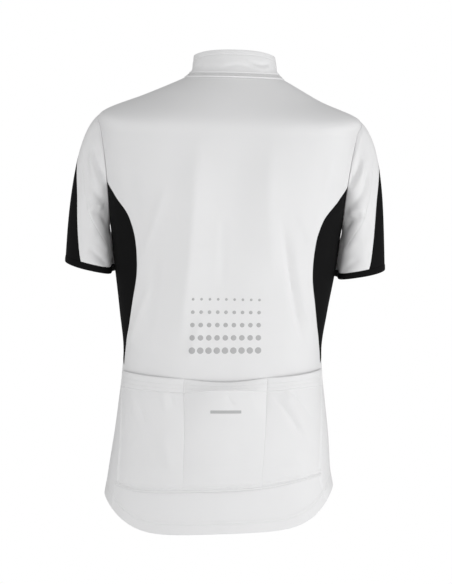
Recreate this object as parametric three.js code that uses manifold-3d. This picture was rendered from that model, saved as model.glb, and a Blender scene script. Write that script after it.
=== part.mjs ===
// Short-sleeved cycling jersey, kept in the hollow form in which it is worn.
// Millimetres, +Z up. The garment's back faces -Y and the zip at the front faces +Y.
// +X is the wearer's right. The origin lies midway between the two neck points,
// where the jersey is carried on the shoulders.

import * as THREE from 'three';
import Module from 'manifold-3d';

// Driving dimensions
const clothWall = 1.5;          // every cloth piece is a wall of this thickness
const cuffWall = 2.2;           // folded binding round the cuffs
const collarWall = 1.8;         // collar in two layers
const seamGap = 0.3;            // between neighbouring pieces at a seam
const neckGap = 0.5;            // the same at the neck, where the seam bends most
const armholeGap = 0.45;        // between sleeve and body at the armhole
const cuffBand = 10;            // width of the binding at the cuffs
const bandRise = 0.22;          // part of the collar's height taken by the band at its foot
const tapeHalf = 5;             // half width of the closed zip
const pocketGapes = [7, 12, 7]; // how far each pocket's mouth stands open in its middle
const pocketTop = 499;
const pocketBottom = 680;
const pocketGap = 0.35;

// The trunk is a stack of rings. down is measured at the side seam from the neck point.
// half, back and front are the ring's reach to the side, rearwards and forwards.
// backDown and frontDown are where the ring runs at the centre back and the centre front.
// square is the power of the ring's rounded outline, turnBack and turnFront tell how late
// the ring leaves that height on its way round to the side.
const trunk = makeTable(
  ['down', 'half', 'back', 'front', 'backDown', 'frontDown', 'square', 'turnBack', 'turnFront'],
  [
    [0, 86, 62, 86, 3, 74, 2.05, 3.0, 2.2],
    [32, 149.5, 93, 104, 44, 100, 2.3, 4.0, 2.6],
    [65, 222, 115.5, 118, 82, 132, 2.7, 4.5, 3.5],
    [92, 221, 119.5, 124, 107, 154, 2.7, 4.5, 4.0],
    [125, 218, 122, 128, 140, 176, 2.6, 4.5, 4.5],
    [178, 211.5, 124, 130, 184, 208, 2.5, 4.5, 4.5],
    [250, 199, 122, 129, 252, 254, 2.4, 4.5, 4.5],
    [314, 191, 117, 124, 315, 314, 2.3, 4.5, 4.5],
    [400, 178, 109, 116, 402, 400, 2.25, 4.5, 4.5],
    [465, 170, 107, 112, 468, 464, 2.25, 4.5, 4.5],
    [499, 171.5, 108.5, 112, 513, 498, 2.25, 3.0, 4.5],
    [560, 178, 114, 114, 575, 558, 2.25, 4.0, 4.5],
    [630, 186.5, 120, 117, 648, 626, 2.25, 4.5, 4.5],
    [683, 192.5, 124, 119.5, 703, 676, 2.25, 5.0, 4.5],
    [703, 196, 125.5, 120, 766, 694, 2.25, 4.8, 4.5],
  ],
);

// The collar in the same terms, rise 0 at the neck seam and 1 at its top edge.
const collar = makeTable(
  ['rise', 'half', 'back', 'front', 'sideUp', 'backUp', 'frontUp'],
  [
    [0, 86, 62, 86, 0, -3, -74],
    [0.22, 75.5, 54, 83, 11, 8, -64],
    [0.6, 72, 50, 82, 25, 26, -44],
    [1, 70, 47, 82, 39.5, 45.5, -24],
  ],
);
const collarSquare = 2.05;
const collarTurnBack = 3;
const collarTurnFront = 2.2;
const collarHeight = 50;

// How the jersey hangs a little off plumb: sideways shift and side-to-side slope by height.
const lean = makeTable(
  ['down', 'shift', 'slope'],
  [
    [-60, 0.5, 0.022],
    [0, 0, 0.026],
    [32, -3.25, 0.04],
    [65, -7, 0.03],
    [120, -9.5, 0.024],
    [180, -11.5, 0.023],
    [250, -14, 0.024],
    [330, -16, 0.026],
    [400, -18.5, 0.008],
    [508, -21, -0.01],
    [600, -22.5, -0.022],
    [700, -26.5, -0.035],
    [770, -22, -0.035],
  ],
);

// Armhole, as the shoulder tip and the underarm on the side line and its depth round the body.
const armTop = 65;
const armLow = 250;
const armBackDegrees = 17;
const armFrontDegrees = 20;
const armRound = 1.25;

// Cuff ring, which hangs beside the waist.
const cuffCentre = new THREE.Vector3(235, 12, -327);
const cuffInOut = 40.5;
const cuffForeAft = 60;
const cuffRiseOut = 0.2;
const cuffRiseFront = 0.12;
const cuffHug = { rear: 24, front: 50 }; // how far the ring's inner corners close in on the body

// Which way and how strongly the sleeve leaves the armhole and arrives at the cuff.
const sleeveRun = makeTable(
  ['degrees', 'leaveX', 'leaveY', 'leaveZ', 'arriveX', 'arriveY', 'arriveZ'],
  [
    [0, 140, 0, -105, 10, 6, -200],
    [90, 68, -11, -86, 14, 2, -120],
    [180, 10, 0, -59, 1, 0, -60],
    [270, 68, 18, -85, 14, 6, -120],
  ],
);

// Seams of the sleeve by degrees round it from the outer line: seam is where the shoulder piece
// meets the outer piece, wedge is where the outer piece meets the dark wedge. Both are parts of
// the way from the armhole to the cuff.
const sleeveSeams = makeTable(
  ['degrees', 'seam', 'wedge'],
  [
    [0, 0.08, 0.24],
    [15, 0.16, 0.34],
    [30, 0.26, 0.43],
    [45, 0.355, 0.56],
    [60, 0.435, 0.74],
    [75, 0.5, 0.92],
    [90, 0.525, 0.95],
    [105, 0.545, 0.95],
    [120, 0.575, 0.95],
    [135, 0.61, 0.95],
    [150, 0.67, 0.95],
    [165, 0.75, 0.95],
    [180, 0.81, 0.95],
  ],
);
const wedgeCorner = 75;

// Degrees round the body, from the centre back, of the dark side insert's two edges.
const insert = makeTable(
  ['down', 'rear', 'fore'],
  [
    [181, 71.5, 110],
    [206, 63.6, 117],
    [233, 53.4, 122],
    [260, 49.3, 126],
    [301, 48.0, 128],
    [341, 50.2, 127],
    [382, 56.8, 121],
    [422, 64.6, 111],
    [450, 72.7, 100],
    [472, 77.4, 90],
    [487, 78.0, 79.2],
  ],
);
const insertTip = 487;
const seamJoin = 491;

// Degrees of the side seam below the insert.
const sideSeam = makeTable(
  ['down', 'degrees'],
  [
    [491, 78.3],
    [545, 72.7],
    [634, 64.8],
    [682, 63],
    [703, 67.3],
  ],
);

// The largest folds: soft ridges (+) and troughs (-) between two points of the cloth.
// face is -1 at the back and +1 at the front. x and down are measured on the hanging cloth.
const folds = makeRows(
  ['face', 'x0', 'down0', 'x1', 'down1', 'width', 'height'],
  [
    [-1, -44, 150, -40, 300, 26, 3],
    [-1, -40, 300, -58, 440, 24, 3],
    [-1, -66, 350, -64, 470, 16, -3],
    [-1, 62, 90, 54, 240, 24, -4],
    [-1, 80, 250, 84, 420, 26, 3.5],
    [-1, 92, 346, 138, 455, 15, 3],
    [-1, -112, 346, -152, 455, 15, 3],
    [-1, -8, 160, -4, 330, 22, -2.5],
    [-1, 74, 560, 128, 645, 14, -3],
    [-1, -96, 530, -70, 600, 16, 2.5],
    [1, -70, 220, -46, 420, 26, 3.5],
    [1, 66, 200, 52, 400, 26, 3.5],
    [1, 24, 250, 28, 520, 22, -3],
    [1, -30, 300, -34, 560, 20, -2.5],
    [1, 98, 380, 132, 520, 18, 3],
    [1, -104, 370, -138, 500, 18, 3],
    [1, 90, 560, 60, 660, 18, 3],
    [1, -84, 570, -60, 670, 18, -3],
  ],
);

// Folds of the sleeve, in degrees round it and part of the way down.
const sleeveFolds = makeRows(
  ['degrees0', 'part0', 'degrees1', 'part1', 'degreesWide', 'partWide', 'height'],
  [
    [62, 0.1, 104, 0.22, 15, 0.07, 3.5],
    [62, 0.26, 104, 0.34, 13, 0.06, -4],
    [80, 0.42, 150, 0.52, 18, 0.06, 3.5],
    [92, 0.56, 160, 0.62, 20, 0.06, -4],
    [255, 0.2, 225, 0.42, 15, 0.08, -4],
    [240, 0.46, 205, 0.6, 16, 0.07, 3.5],
    [310, 0.45, 290, 0.8, 14, 0.12, -2.5],
  ],
);

// Zip slider and pull
const sliderWidth = 8.4;
const sliderLength = 11;
const sliderPlate = 1.3;
const sliderFront = 82.15;      // outer face of the collar's cloth at the slider, plus a gap
const sliderTop = -25;
const bridgeWidth = 2.8;
const bridgeWall = 1.2;
const bridgeWindow = 5;
const bridgeReach = 2.7;
const pullWidth = 6.6;
const pullLength = 25;
const pullThick = 1.5;
const pullBar = 1.4;
const pullWindow = 5.2;
const pullSideBar = 1.3;

// Colours
const white = { color: 0xe9e9ea, roughness: 0.72, metalness: 0 };
const black = { color: 0x131315, roughness: 0.68, metalness: 0 };
const zipCloth = { color: 0xdededf, roughness: 0.8, metalness: 0 };
const metal = { color: 0x9b9da1, roughness: 0.34, metalness: 0.9 };

const wasm = await Module();
wasm.setup();

function makeRows(names, rows) {
  return rows.map((row) => Object.fromEntries(names.map((name, k) => [name, row[k]])));
}

// A table that is read between its rows along a smooth curve through them. The slope at a row
// is the mean of the two slopes beside it, each weighted by the other's length.
function makeTable(names, rows) {
  const keys = rows.map((row) => row[0]);
  const columns = {};
  for (let c = 1; c < names.length; c += 1) {
    const values = rows.map((row) => row[c]);
    const steps = keys.slice(1).map((key, i) => key - keys[i]);
    const rates = steps.map((step, i) => (values[i + 1] - values[i]) / step);
    const slopes = values.map((value, i) => {
      if (i === 0) return rates[0];
      if (i === values.length - 1) return rates[i - 1];
      return (rates[i - 1] * steps[i] + rates[i] * steps[i - 1]) / (steps[i - 1] + steps[i]);
    });
    columns[names[c]] = { values, slopes };
  }
  return { keys, columns };
}

function readTable(table, name, key) {
  const { keys } = table;
  const { values, slopes } = table.columns[name];
  const at = Math.min(Math.max(key, keys[0]), keys[keys.length - 1]);
  let i = 0;
  while (i < keys.length - 2 && at > keys[i + 1]) i += 1;
  const step = keys[i + 1] - keys[i];
  const t = (at - keys[i]) / step;
  const start = (2 * t - 3) * t * t + 1;
  const leave = ((t - 2) * t + 1) * t * step;
  const arrive = (t - 1) * t * t * step;
  return start * values[i] + leave * slopes[i] + (1 - start) * values[i + 1] + arrive * slopes[i + 1];
}

function smoothStep(low, high, value) {
  const t = Math.min(Math.max((value - low) / (high - low), 0), 1);
  return t * t * (3 - 2 * t);
}

function radians(degrees) {
  return THREE.MathUtils.degToRad(degrees);
}

// A rounded ring: the point at some degrees from the centre back, which is at -Y.
function ringPoint(degrees, ring) {
  const sine = Math.sin(radians(degrees));
  const cosine = Math.cos(radians(degrees));
  const power = 2 / ring.square;
  const behind = cosine > 0;
  const middle = behind ? ring.backZ : ring.frontZ;
  const turn = behind ? ring.turnBack : ring.turnFront;
  return new THREE.Vector3(
    ring.half * Math.sign(sine) * Math.abs(sine) ** power,
    (behind ? -ring.back : ring.front) * Math.abs(cosine) ** power,
    middle + (ring.sideZ - middle) * Math.abs(sine) ** turn,
  );
}

function smoothTrunk(degrees, down) {
  const read = (name) => readTable(trunk, name, down);
  return ringPoint(degrees, {
    half: read('half'),
    back: read('back'),
    front: read('front'),
    sideZ: -down,
    backZ: -read('backDown'),
    frontZ: -read('frontDown'),
    square: read('square'),
    turnBack: read('turnBack'),
    turnFront: read('turnFront'),
  });
}

function smoothCollar(degrees, rise) {
  const read = (name) => readTable(collar, name, rise);
  return ringPoint(degrees, {
    half: read('half'),
    back: read('back'),
    front: read('front'),
    sideZ: read('sideUp'),
    backZ: read('backUp'),
    frontZ: read('frontUp'),
    square: collarSquare,
    turnBack: collarTurnBack,
    turnFront: collarTurnFront,
  });
}

// Height of a soft fold at a distance from its line: a bell across, fading out at both ends.
function foldHeight(across, along, width, height) {
  const fade = smoothStep(-0.25, 0.25, along) * smoothStep(1.25, 0.75, along);
  return height * fade * Math.exp(-((across / width) ** 2));
}

function trunkFolds(point) {
  let sum = 0;
  for (const fold of folds) {
    if (fold.face * point.y < 0) continue;
    const runX = fold.x1 - fold.x0;
    const runDown = fold.down1 - fold.down0;
    const length = Math.hypot(runX, runDown);
    const fromX = point.x - fold.x0;
    const fromDown = -point.z - fold.down0;
    const along = (fromX * runX + fromDown * runDown) / (length * length);
    const across = (fromX * runDown - fromDown * runX) / length;
    sum += foldHeight(across, along, fold.width, fold.height);
  }
  return sum * smoothStep(0, 40, Math.abs(point.y));
}

// Hangs a point a little off plumb.
function hang(point) {
  const shift = readTable(lean, 'shift', -point.z);
  const slope = readTable(lean, 'slope', -point.z);
  return new THREE.Vector3(point.x + shift, point.y, point.z - slope * point.x);
}

// Outward direction of a surface at two parameters, from small steps along both.
function normalOf(surface, u, v, stepU, stepV, side) {
  const alongU = surface(u + stepU, v).sub(surface(u - stepU, v));
  const alongV = surface(u, v + stepV).sub(surface(u, v - stepV));
  return alongV.cross(alongU).multiplyScalar(side).normalize();
}

function trunkSurface(degrees, down) {
  const base = smoothTrunk(degrees, down);
  const outward = normalOf(smoothTrunk, degrees, down, 0.4, 0.5, 1);
  return hang(base.addScaledVector(outward, trunkFolds(base)));
}

function collarSurface(degrees, rise) {
  return hang(smoothCollar(degrees, rise));
}

// Degrees round the body and height of the armhole. 0 is the shoulder tip, 90 the back,
// 180 the underarm and 270 the front.
function armholeAt(turn) {
  const middle = (armTop + armLow) / 2;
  const down = middle - ((armLow - armTop) / 2) * Math.cos(radians(turn));
  const sine = Math.sin(radians(turn));
  const depth = sine > 0 ? armBackDegrees : armFrontDegrees;
  return { degrees: 90 - depth * Math.sign(sine) * Math.abs(sine) ** armRound, down };
}

// Reads the four rows of the sleeve's run, blended by squared cosine and sine.
function runVector(prefix, turn) {
  const cosine = Math.cos(radians(turn));
  const sine = Math.sin(radians(turn));
  const weights = [
    Math.max(cosine, 0) ** 2,
    Math.max(sine, 0) ** 2,
    Math.max(-cosine, 0) ** 2,
    Math.max(-sine, 0) ** 2,
  ];
  const total = new THREE.Vector3();
  for (let k = 0; k < 4; k += 1) {
    total.x += weights[k] * sleeveRun.columns[`${prefix}X`].values[k];
    total.y += weights[k] * sleeveRun.columns[`${prefix}Y`].values[k];
    total.z += weights[k] * sleeveRun.columns[`${prefix}Z`].values[k];
  }
  return total;
}

function cuffPoint(turn) {
  const cosine = Math.cos(radians(turn));
  const sine = Math.sin(radians(turn));
  const hug = Math.max(0, -cosine) * sine * sine * (sine > 0 ? cuffHug.rear : cuffHug.front);
  const out = cuffInOut * cosine - hug;
  const front = -cuffForeAft * sine;
  return new THREE.Vector3(
    cuffCentre.x + out,
    cuffCentre.y + front,
    cuffCentre.z + cuffRiseOut * out + cuffRiseFront * front,
  );
}

// The sleeve runs on smooth curves from the armhole, part 0, to the cuff, part 1.
function smoothSleeve(turn, part) {
  const hole = armholeAt(turn);
  const start = smoothTrunk(hole.degrees, hole.down);
  const t = part;
  return start
    .multiplyScalar((2 * t - 3) * t * t + 1)
    .addScaledVector(runVector('leave', turn), ((t - 2) * t + 1) * t)
    .addScaledVector(cuffPoint(turn), (3 - 2 * t) * t * t)
    .addScaledVector(runVector('arrive', turn), (t - 1) * t * t);
}

function foldsOfSleeve(turn, part) {
  const round = ((turn % 360) + 360) % 360;
  let sum = 0;
  for (const fold of sleeveFolds) {
    const runTurn = (fold.degrees1 - fold.degrees0) / fold.degreesWide;
    const runPart = (fold.part1 - fold.part0) / fold.partWide;
    const length = Math.hypot(runTurn, runPart);
    const fromTurn = (round - fold.degrees0) / fold.degreesWide;
    const fromPart = (part - fold.part0) / fold.partWide;
    const along = (fromTurn * runTurn + fromPart * runPart) / (length * length);
    const across = (fromTurn * runPart - fromPart * runTurn) / length;
    sum += foldHeight(across, along, 1, fold.height);
  }
  return sum * smoothStep(0, 0.12, part) * smoothStep(1, 0.85, part);
}

// side is +1 for the wearer's right sleeve, at +X, and -1 for the left one.
function sleeveSurface(side) {
  return (turn, part) => {
    const base = smoothSleeve(turn, part);
    const outward = normalOf(smoothSleeve, turn, part, 0.5, 0.004, -1);
    base.addScaledVector(outward, foldsOfSleeve(turn, part));
    base.x *= side;
    return hang(base);
  };
}

// Part of the way down the sleeve at which the cuff's binding starts.
function cuffStart(turn) {
  return 1 - cuffBand / runVector('arrive', turn).length();
}

// Degrees at evenly spaced lengths round one ring, between two angles.
function evenDegrees(down, from, to, count) {
  const steps = 60;
  const lengths = [0];
  let last = smoothTrunk(from, down);
  for (let k = 1; k <= steps; k += 1) {
    const next = smoothTrunk(from + ((to - from) * k) / steps, down);
    lengths.push(lengths[k - 1] + next.distanceTo(last));
    last = next;
  }
  const found = [from];
  for (let j = 1; j < count; j += 1) {
    const wanted = (lengths[steps] * j) / count;
    let k = 1;
    while (lengths[k] < wanted) k += 1;
    const inStep = (wanted - lengths[k - 1]) / (lengths[k] - lengths[k - 1]);
    found.push(from + ((to - from) * (k - 1 + inStep)) / steps);
  }
  found.push(to);
  return found;
}

// Closed mesh of a wall from two grids of points, outer and inner, with the same rows.
// side -1 turns the faces round, closed joins the last column to the first.
function wallMesh(name, outer, inner, side, closed, material) {
  const rows = outer.length;
  const columns = outer[0].length;
  const positions = [];
  for (const grid of [outer, inner]) {
    for (const row of grid) {
      for (const point of row) positions.push(point.x, point.y, point.z);
    }
  }
  const index = [];
  const face = (a, b, c) => (side > 0 ? index.push(a, b, c) : index.push(a, c, b));
  const quad = (a, b, c, d) => {
    face(a, b, c);
    face(a, c, d);
  };
  const at = (layer, i, j) => layer * rows * columns + i * columns + (j % columns);
  const lastColumn = closed ? columns : columns - 1;
  for (let j = 0; j < lastColumn; j += 1) {
    for (let i = 0; i < rows - 1; i += 1) {
      quad(at(0, i, j), at(0, i + 1, j), at(0, i + 1, j + 1), at(0, i, j + 1));
      quad(at(1, i, j), at(1, i, j + 1), at(1, i + 1, j + 1), at(1, i + 1, j));
    }
    quad(at(0, 0, j), at(0, 0, j + 1), at(1, 0, j + 1), at(1, 0, j));
    quad(at(0, rows - 1, j), at(1, rows - 1, j), at(1, rows - 1, j + 1), at(0, rows - 1, j + 1));
  }
  if (!closed) {
    const end = columns - 1;
    for (let i = 0; i < rows - 1; i += 1) {
      quad(at(0, i, 0), at(1, i, 0), at(1, i + 1, 0), at(0, i + 1, 0));
      quad(at(0, i, end), at(0, i + 1, end), at(1, i + 1, end), at(1, i, end));
    }
  }
  const geometry = new THREE.BufferGeometry();
  geometry.setAttribute('position', new THREE.Float32BufferAttribute(positions, 3));
  geometry.setIndex(index);
  geometry.computeVertexNormals();
  const mesh = new THREE.Mesh(geometry, new THREE.MeshStandardMaterial(material));
  mesh.name = name;
  return mesh;
}

// Moves the points along a piece's edge inwards over the cloth, so that a seam stays open.
function trimEdge(outer, inner, cells, step, distance) {
  const moves = cells.map(([i, j]) => {
    const next = outer[i + step[0]][j + step[1]];
    return next.clone().sub(outer[i][j]).setLength(distance);
  });
  cells.forEach(([i, j], k) => {
    outer[i][j].add(moves[k]);
    inner[i][j].add(moves[k]);
  });
}

// Trims the four sides of a piece, each by its own distance.
function trimPiece(outer, inner, top, bottom, sides) {
  const rows = outer.length;
  const columns = outer[0].length;
  const rowCells = (i) => outer[i].map((point, j) => [i, j]);
  const columnCells = (j) => outer.map((row, i) => [i, j]);
  if (top > 0) trimEdge(outer, inner, rowCells(0), [1, 0], top);
  if (bottom > 0) trimEdge(outer, inner, rowCells(rows - 1), [-1, 0], bottom);
  if (sides > 0) {
    trimEdge(outer, inner, columnCells(0), [0, 1], sides);
    trimEdge(outer, inner, columnCells(columns - 1), [0, -1], sides);
  }
}

// Two grids of points over a surface, from a grid of its parameters. steps are the small steps
// for the surface's direction, lift how far its outer side stands out from the surface.
function layersOf(surface, params, steps, side, thickness, lift = () => 0) {
  const outer = [];
  const inner = [];
  for (const [i, row] of params.entries()) {
    outer.push([]);
    inner.push([]);
    for (const [j, [u, v]] of row.entries()) {
      const point = surface(u, v);
      const normal = normalOf(surface, u, v, steps[0], steps[1], side);
      const out = lift(i, j, u, v);
      outer[i].push(point.clone().addScaledVector(normal, out));
      inner[i].push(point.addScaledVector(normal, out - thickness));
    }
  }
  return { outer, inner };
}

const trunkSteps = [0.4, 0.5];
const sleeveSteps = [0.5, 0.004];
const halfGap = seamGap / 2;

// Rows of the trunk, shared by every panel so that neighbours bend at the same places.
const columnTurn = 15;
const insertTurn = 105;
const armholeRows = [];
for (let turn = 0; turn <= insertTurn; turn += columnTurn) armholeRows.push(armholeAt(turn).down);
const insertTop = armholeRows[armholeRows.length - 1];
const insertRows = [insertTop, 204, 227, 250, 275, 300, 325, 350, 375, 400, 425, 450, 470, insertTip];
const lowRows = [seamJoin, pocketTop, 520, 545, 575, 610, 645, pocketBottom, 692, 703];
const trunkRows = [0, 20, 42, ...armholeRows, ...insertRows.slice(1), ...lowRows];

// Edge of the back panel (rear) or of a front panel (fore) in degrees from the centre back.
function panelEdge(which, row) {
  const down = trunkRows[row];
  if (down <= armTop) return 90;
  if (down < insertTop) {
    const turn = (row - trunkRows.indexOf(armTop)) * columnTurn;
    return armholeAt(which === 'rear' ? turn : 360 - turn).degrees;
  }
  if (down === insertTop) return armholeAt(which === 'rear' ? insertTurn : 360 - insertTurn).degrees;
  if (down <= insertTip) return readTable(insert, which, down);
  return readTable(sideSeam, 'degrees', down);
}

function backParams(columns) {
  return trunkRows.map((down, row) => {
    const edge = panelEdge('rear', row);
    return evenDegrees(down, -edge, edge, columns).map((degrees) => [degrees, down]);
  });
}

const backColumns = 26;
const backGrid = backParams(backColumns);

function buildBack() {
  const { outer, inner } = layersOf(trunkSurface, backGrid, trunkSteps, 1, clothWall);
  trimPiece(outer, inner, neckGap / 2, 0, halfGap);
  return wallMesh('back_panel', outer, inner, 1, false, white);
}

// Degrees between the centre front and a point at some distance from it.
function zipDegrees(down, distance) {
  const ratio = distance / readTable(trunk, 'half', down);
  return THREE.MathUtils.radToDeg(Math.asin(ratio ** (readTable(trunk, 'square', down) / 2)));
}

function buildFront(side) {
  const columns = 10;
  const params = trunkRows.map((down, row) => {
    const seam = panelEdge('fore', row);
    const zipEdge = 180 - zipDegrees(down, tapeHalf + halfGap);
    const list = evenDegrees(down, seam, zipEdge, columns).map((degrees) => [side * degrees, down]);
    return side > 0 ? list : list.reverse();
  });
  const { outer, inner } = layersOf(trunkSurface, params, trunkSteps, 1, clothWall);
  trimPiece(outer, inner, neckGap / 2, 0, halfGap);
  return wallMesh(side > 0 ? 'front_right' : 'front_left', outer, inner, 1, false, white);
}

// The side insert hangs from the underarm. Its top follows the armhole and its sides close
// towards a tip above the pockets.
function buildInsert(side) {
  const turns = [];
  for (let turn = insertTurn; turn <= 360 - insertTurn; turn += columnTurn) turns.push(turn);
  const params = insertRows.map((edgeDown) => {
    const gone = (edgeDown - insertTop) / (insertTip - insertTop);
    const list = turns.map((turn, j) => {
      const hole = armholeAt(turn);
      const down = hole.down + (insertTip - hole.down) * gone;
      const rearTop = hole.down <= insertTop ? hole.degrees : readTable(insert, 'rear', hole.down);
      const foreTop = hole.down <= insertTop ? hole.degrees : readTable(insert, 'fore', hole.down);
      const plain = j / (turns.length - 1);
      const wide = foreTop - rearTop;
      const onTop = wide > 1 ? (hole.degrees - rearTop) / wide : plain;
      const part = onTop + (plain - onTop) * gone;
      let rear = readTable(insert, 'rear', down);
      let fore = readTable(insert, 'fore', down);
      if (gone === 0 && plain === 0) rear = hole.degrees;
      if (gone === 0 && plain === 1) fore = hole.degrees;
      return [side * (rear + (fore - rear) * part), down];
    });
    return side > 0 ? list : list.reverse();
  });
  const { outer, inner } = layersOf(trunkSurface, params, trunkSteps, 1, clothWall);
  trimPiece(outer, inner, halfGap, halfGap, halfGap);
  return wallMesh(side > 0 ? 'side_insert_right' : 'side_insert_left', outer, inner, 1, false, black);
}

function spread(from, to, count) {
  return Array.from({ length: count + 1 }, (item, i) => from + ((to - from) * i) / count);
}

function sleeveParams(turns, top, bottom, rows) {
  return spread(0, 1, rows).map((part) => turns.map((turn) => {
    const start = top(turn);
    return [turn, start + (bottom(turn) - start) * part];
  }));
}

// Degrees round the sleeve from its outer line, whichever way is shorter.
function offOuterLine(turn) {
  return Math.min(turn, 360 - turn);
}

function seamAt(turn) {
  return readTable(sleeveSeams, 'seam', offOuterLine(turn));
}

const seamEndTurn = 174;

// Where the shoulder piece ends: at the seam, or at the cuff next to the underarm line.
function shoulderEnd(turn) {
  return offOuterLine(turn) > seamEndTurn ? cuffStart(turn) : seamAt(turn);
}

// Closed ring that joins the armhole. Its first row stands off the body's edge.
function buildShoulderPiece(side) {
  const half = [...spread(columnTurn, 165, 10), seamEndTurn, seamEndTurn + 1];
  const turns = [0, ...half, 180, ...half.reverse().map((turn) => 360 - turn)];
  const surface = sleeveSurface(side);
  const params = sleeveParams(turns, () => 0, shoulderEnd, 8);
  const { outer, inner } = layersOf(surface, params, sleeveSteps, -side, clothWall);
  turns.forEach((turn, j) => {
    const hole = armholeAt(turn);
    const bodyOut = normalOf(trunkSurface, side * hole.degrees, hole.down, 0.4, 0.5, 1);
    const sleeveOut = normalOf(surface, turn, 0, sleeveSteps[0], sleeveSteps[1], -side);
    const leaving = outer[1][j].clone().sub(outer[0][j]).normalize();
    const away = leaving.add(bodyOut).setLength(armholeGap);
    const shared = smoothStep(0, 0.6, sleeveOut.dot(bodyOut));
    const through = sleeveOut.multiplyScalar(1 - shared).addScaledVector(bodyOut, shared);
    outer[0][j].add(away);
    inner[0][j].copy(outer[0][j]).addScaledVector(through.normalize(), -clothWall);
  });
  trimPiece(outer, inner, 0, halfGap, 0);
  const name = side > 0 ? 'sleeve_shoulder_right' : 'sleeve_shoulder_left';
  return wallMesh(name, outer, inner, -side, true, white);
}

// Outer piece of the sleeve, an arch round the dark wedge whose feet end at the underarm line.
function buildOuterPiece(side) {
  const half = [...spread(0, 165, 11), seamEndTurn];
  const turns = [...half.slice(1).reverse().map((turn) => 360 - turn), ...half];
  const ending = (turn) => {
    const off = offOuterLine(turn);
    return off >= wedgeCorner ? cuffStart(turn) : readTable(sleeveSeams, 'wedge', off);
  };
  const params = sleeveParams(turns, seamAt, ending, 5);
  const { outer, inner } = layersOf(sleeveSurface(side), params, sleeveSteps, -side, clothWall);
  trimPiece(outer, inner, halfGap, halfGap, halfGap);
  const name = side > 0 ? 'sleeve_outer_right' : 'sleeve_outer_left';
  return wallMesh(name, outer, inner, -side, false, white);
}

function buildWedge(side) {
  const half = [...spread(0, 60, 4), wedgeCorner - 1];
  const turns = [...half.slice(1).reverse().map((turn) => -turn), ...half];
  const top = (turn) => readTable(sleeveSeams, 'wedge', Math.abs(turn));
  const params = sleeveParams(turns, top, cuffStart, 7);
  const { outer, inner } = layersOf(sleeveSurface(side), params, sleeveSteps, -side, clothWall);
  trimPiece(outer, inner, halfGap, halfGap, 0);
  const name = side > 0 ? 'sleeve_wedge_right' : 'sleeve_wedge_left';
  return wallMesh(name, outer, inner, -side, false, black);
}

function buildCuff(side) {
  const params = sleeveParams(spread(0, 345, 23), cuffStart, () => 1, 2);
  const proud = () => (cuffWall - clothWall) / 2;
  const { outer, inner } = layersOf(sleeveSurface(side), params, sleeveSteps, -side, cuffWall, proud);
  trimPiece(outer, inner, halfGap, 0, 0);
  return wallMesh(side > 0 ? 'cuff_right' : 'cuff_left', outer, inner, -side, true, black);
}

// A ring round the neck, open at the zip, between two rises.
function buildNeckPiece(name, rises, top, bottom) {
  const columns = 52;
  const edge = (rise) => {
    const ratio = (tapeHalf + halfGap) / readTable(collar, 'half', rise);
    return 180 - THREE.MathUtils.radToDeg(Math.asin(ratio ** (collarSquare / 2)));
  };
  const params = rises.map((rise) => spread(-edge(rise), edge(rise), columns).map((d) => [d, rise]));
  const { outer, inner } = layersOf(collarSurface, params, [0.4, -0.01], 1, collarWall);
  trimPiece(outer, inner, top, bottom, halfGap);
  return wallMesh(name, outer, inner, 1, false, white);
}

// One half of the closed zip, from the slider down to the hem. along is 0 at the neck seam,
// positive down the trunk and negative up the collar.
function buildTape(side) {
  const surface = (x, along) => {
    const centre = along >= 0 ? smoothTrunk(180, along) : smoothCollar(180, -along / collarHeight);
    centre.x = x;
    return hang(centre);
  };
  const tapeTop = -0.76 * collarHeight;
  const stations = [tapeTop, tapeTop / 2, -bandRise * collarHeight, ...trunkRows];
  const near = halfGap;
  const far = tapeHalf - halfGap;
  const across = side > 0 ? [far, near] : [-near, -far];
  const params = stations.map((along) => across.map((x) => [x, along]));
  const sunk = () => -0.3;
  const { outer, inner } = layersOf(surface, params, [-0.5, 1], 1, clothWall, sunk);
  return wallMesh(side > 0 ? 'zip_tape_right' : 'zip_tape_left', outer, inner, 1, false, zipCloth);
}

// The rear pocket is one patch on the back panel's own points, moved out. It touches the panel
// at its sides, at its foot and at two upright seams, and its three mouths stand open.
function buildPocket() {
  const firstRow = trunkRows.indexOf(pocketTop);
  const lastRow = trunkRows.indexOf(pocketBottom);
  const params = backGrid.slice(firstRow, lastRow + 1).map((row) => row.slice(1, -1));
  const last = params[0].length - 1;
  const splits = [0, last / 2 - 5, last / 2 + 5, last];
  const bulge = (i, j) => {
    const k = splits.findIndex((split, n) => n < 3 && j >= split && j <= splits[n + 1]);
    const part = (j - splits[k]) / (splits[k + 1] - splits[k]);
    const [, down] = params[i][j];
    const depth = (down - pocketTop) / (pocketBottom - pocketTop);
    const open = (1 - smoothStep(0.75, 1, depth)) * (0.2 + 0.8 * (1 - smoothStep(0, 0.5, depth)));
    return pocketGapes[k] * open * Math.sin(Math.PI * part) ** 0.8;
  };
  const lift = (i, j) => pocketGap + clothWall + bulge(i, j);
  const { outer, inner } = layersOf(trunkSurface, params, trunkSteps, 1, clothWall, lift);
  return wallMesh('rear_pocket', outer, inner, 1, false, white);
}

// A closed solid from a three.js geometry, for joining and cutting.
function solidOf(geometry) {
  const source = geometry.index ? geometry.toNonIndexed() : geometry;
  const array = source.getAttribute('position').array;
  const keys = new Map();
  const vertices = [];
  const triangles = [];
  for (let k = 0; k < array.length; k += 3) {
    const key = [array[k], array[k + 1], array[k + 2]].map((value) => value.toFixed(4)).join(' ');
    if (!keys.has(key)) {
      keys.set(key, vertices.length / 3);
      vertices.push(array[k], array[k + 1], array[k + 2]);
    }
    triangles.push(keys.get(key));
  }
  const mesh = new wasm.Mesh({
    numProp: 3,
    vertProperties: new Float32Array(vertices),
    triVerts: new Uint32Array(triangles),
  });
  return new wasm.Manifold(mesh);
}

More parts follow.
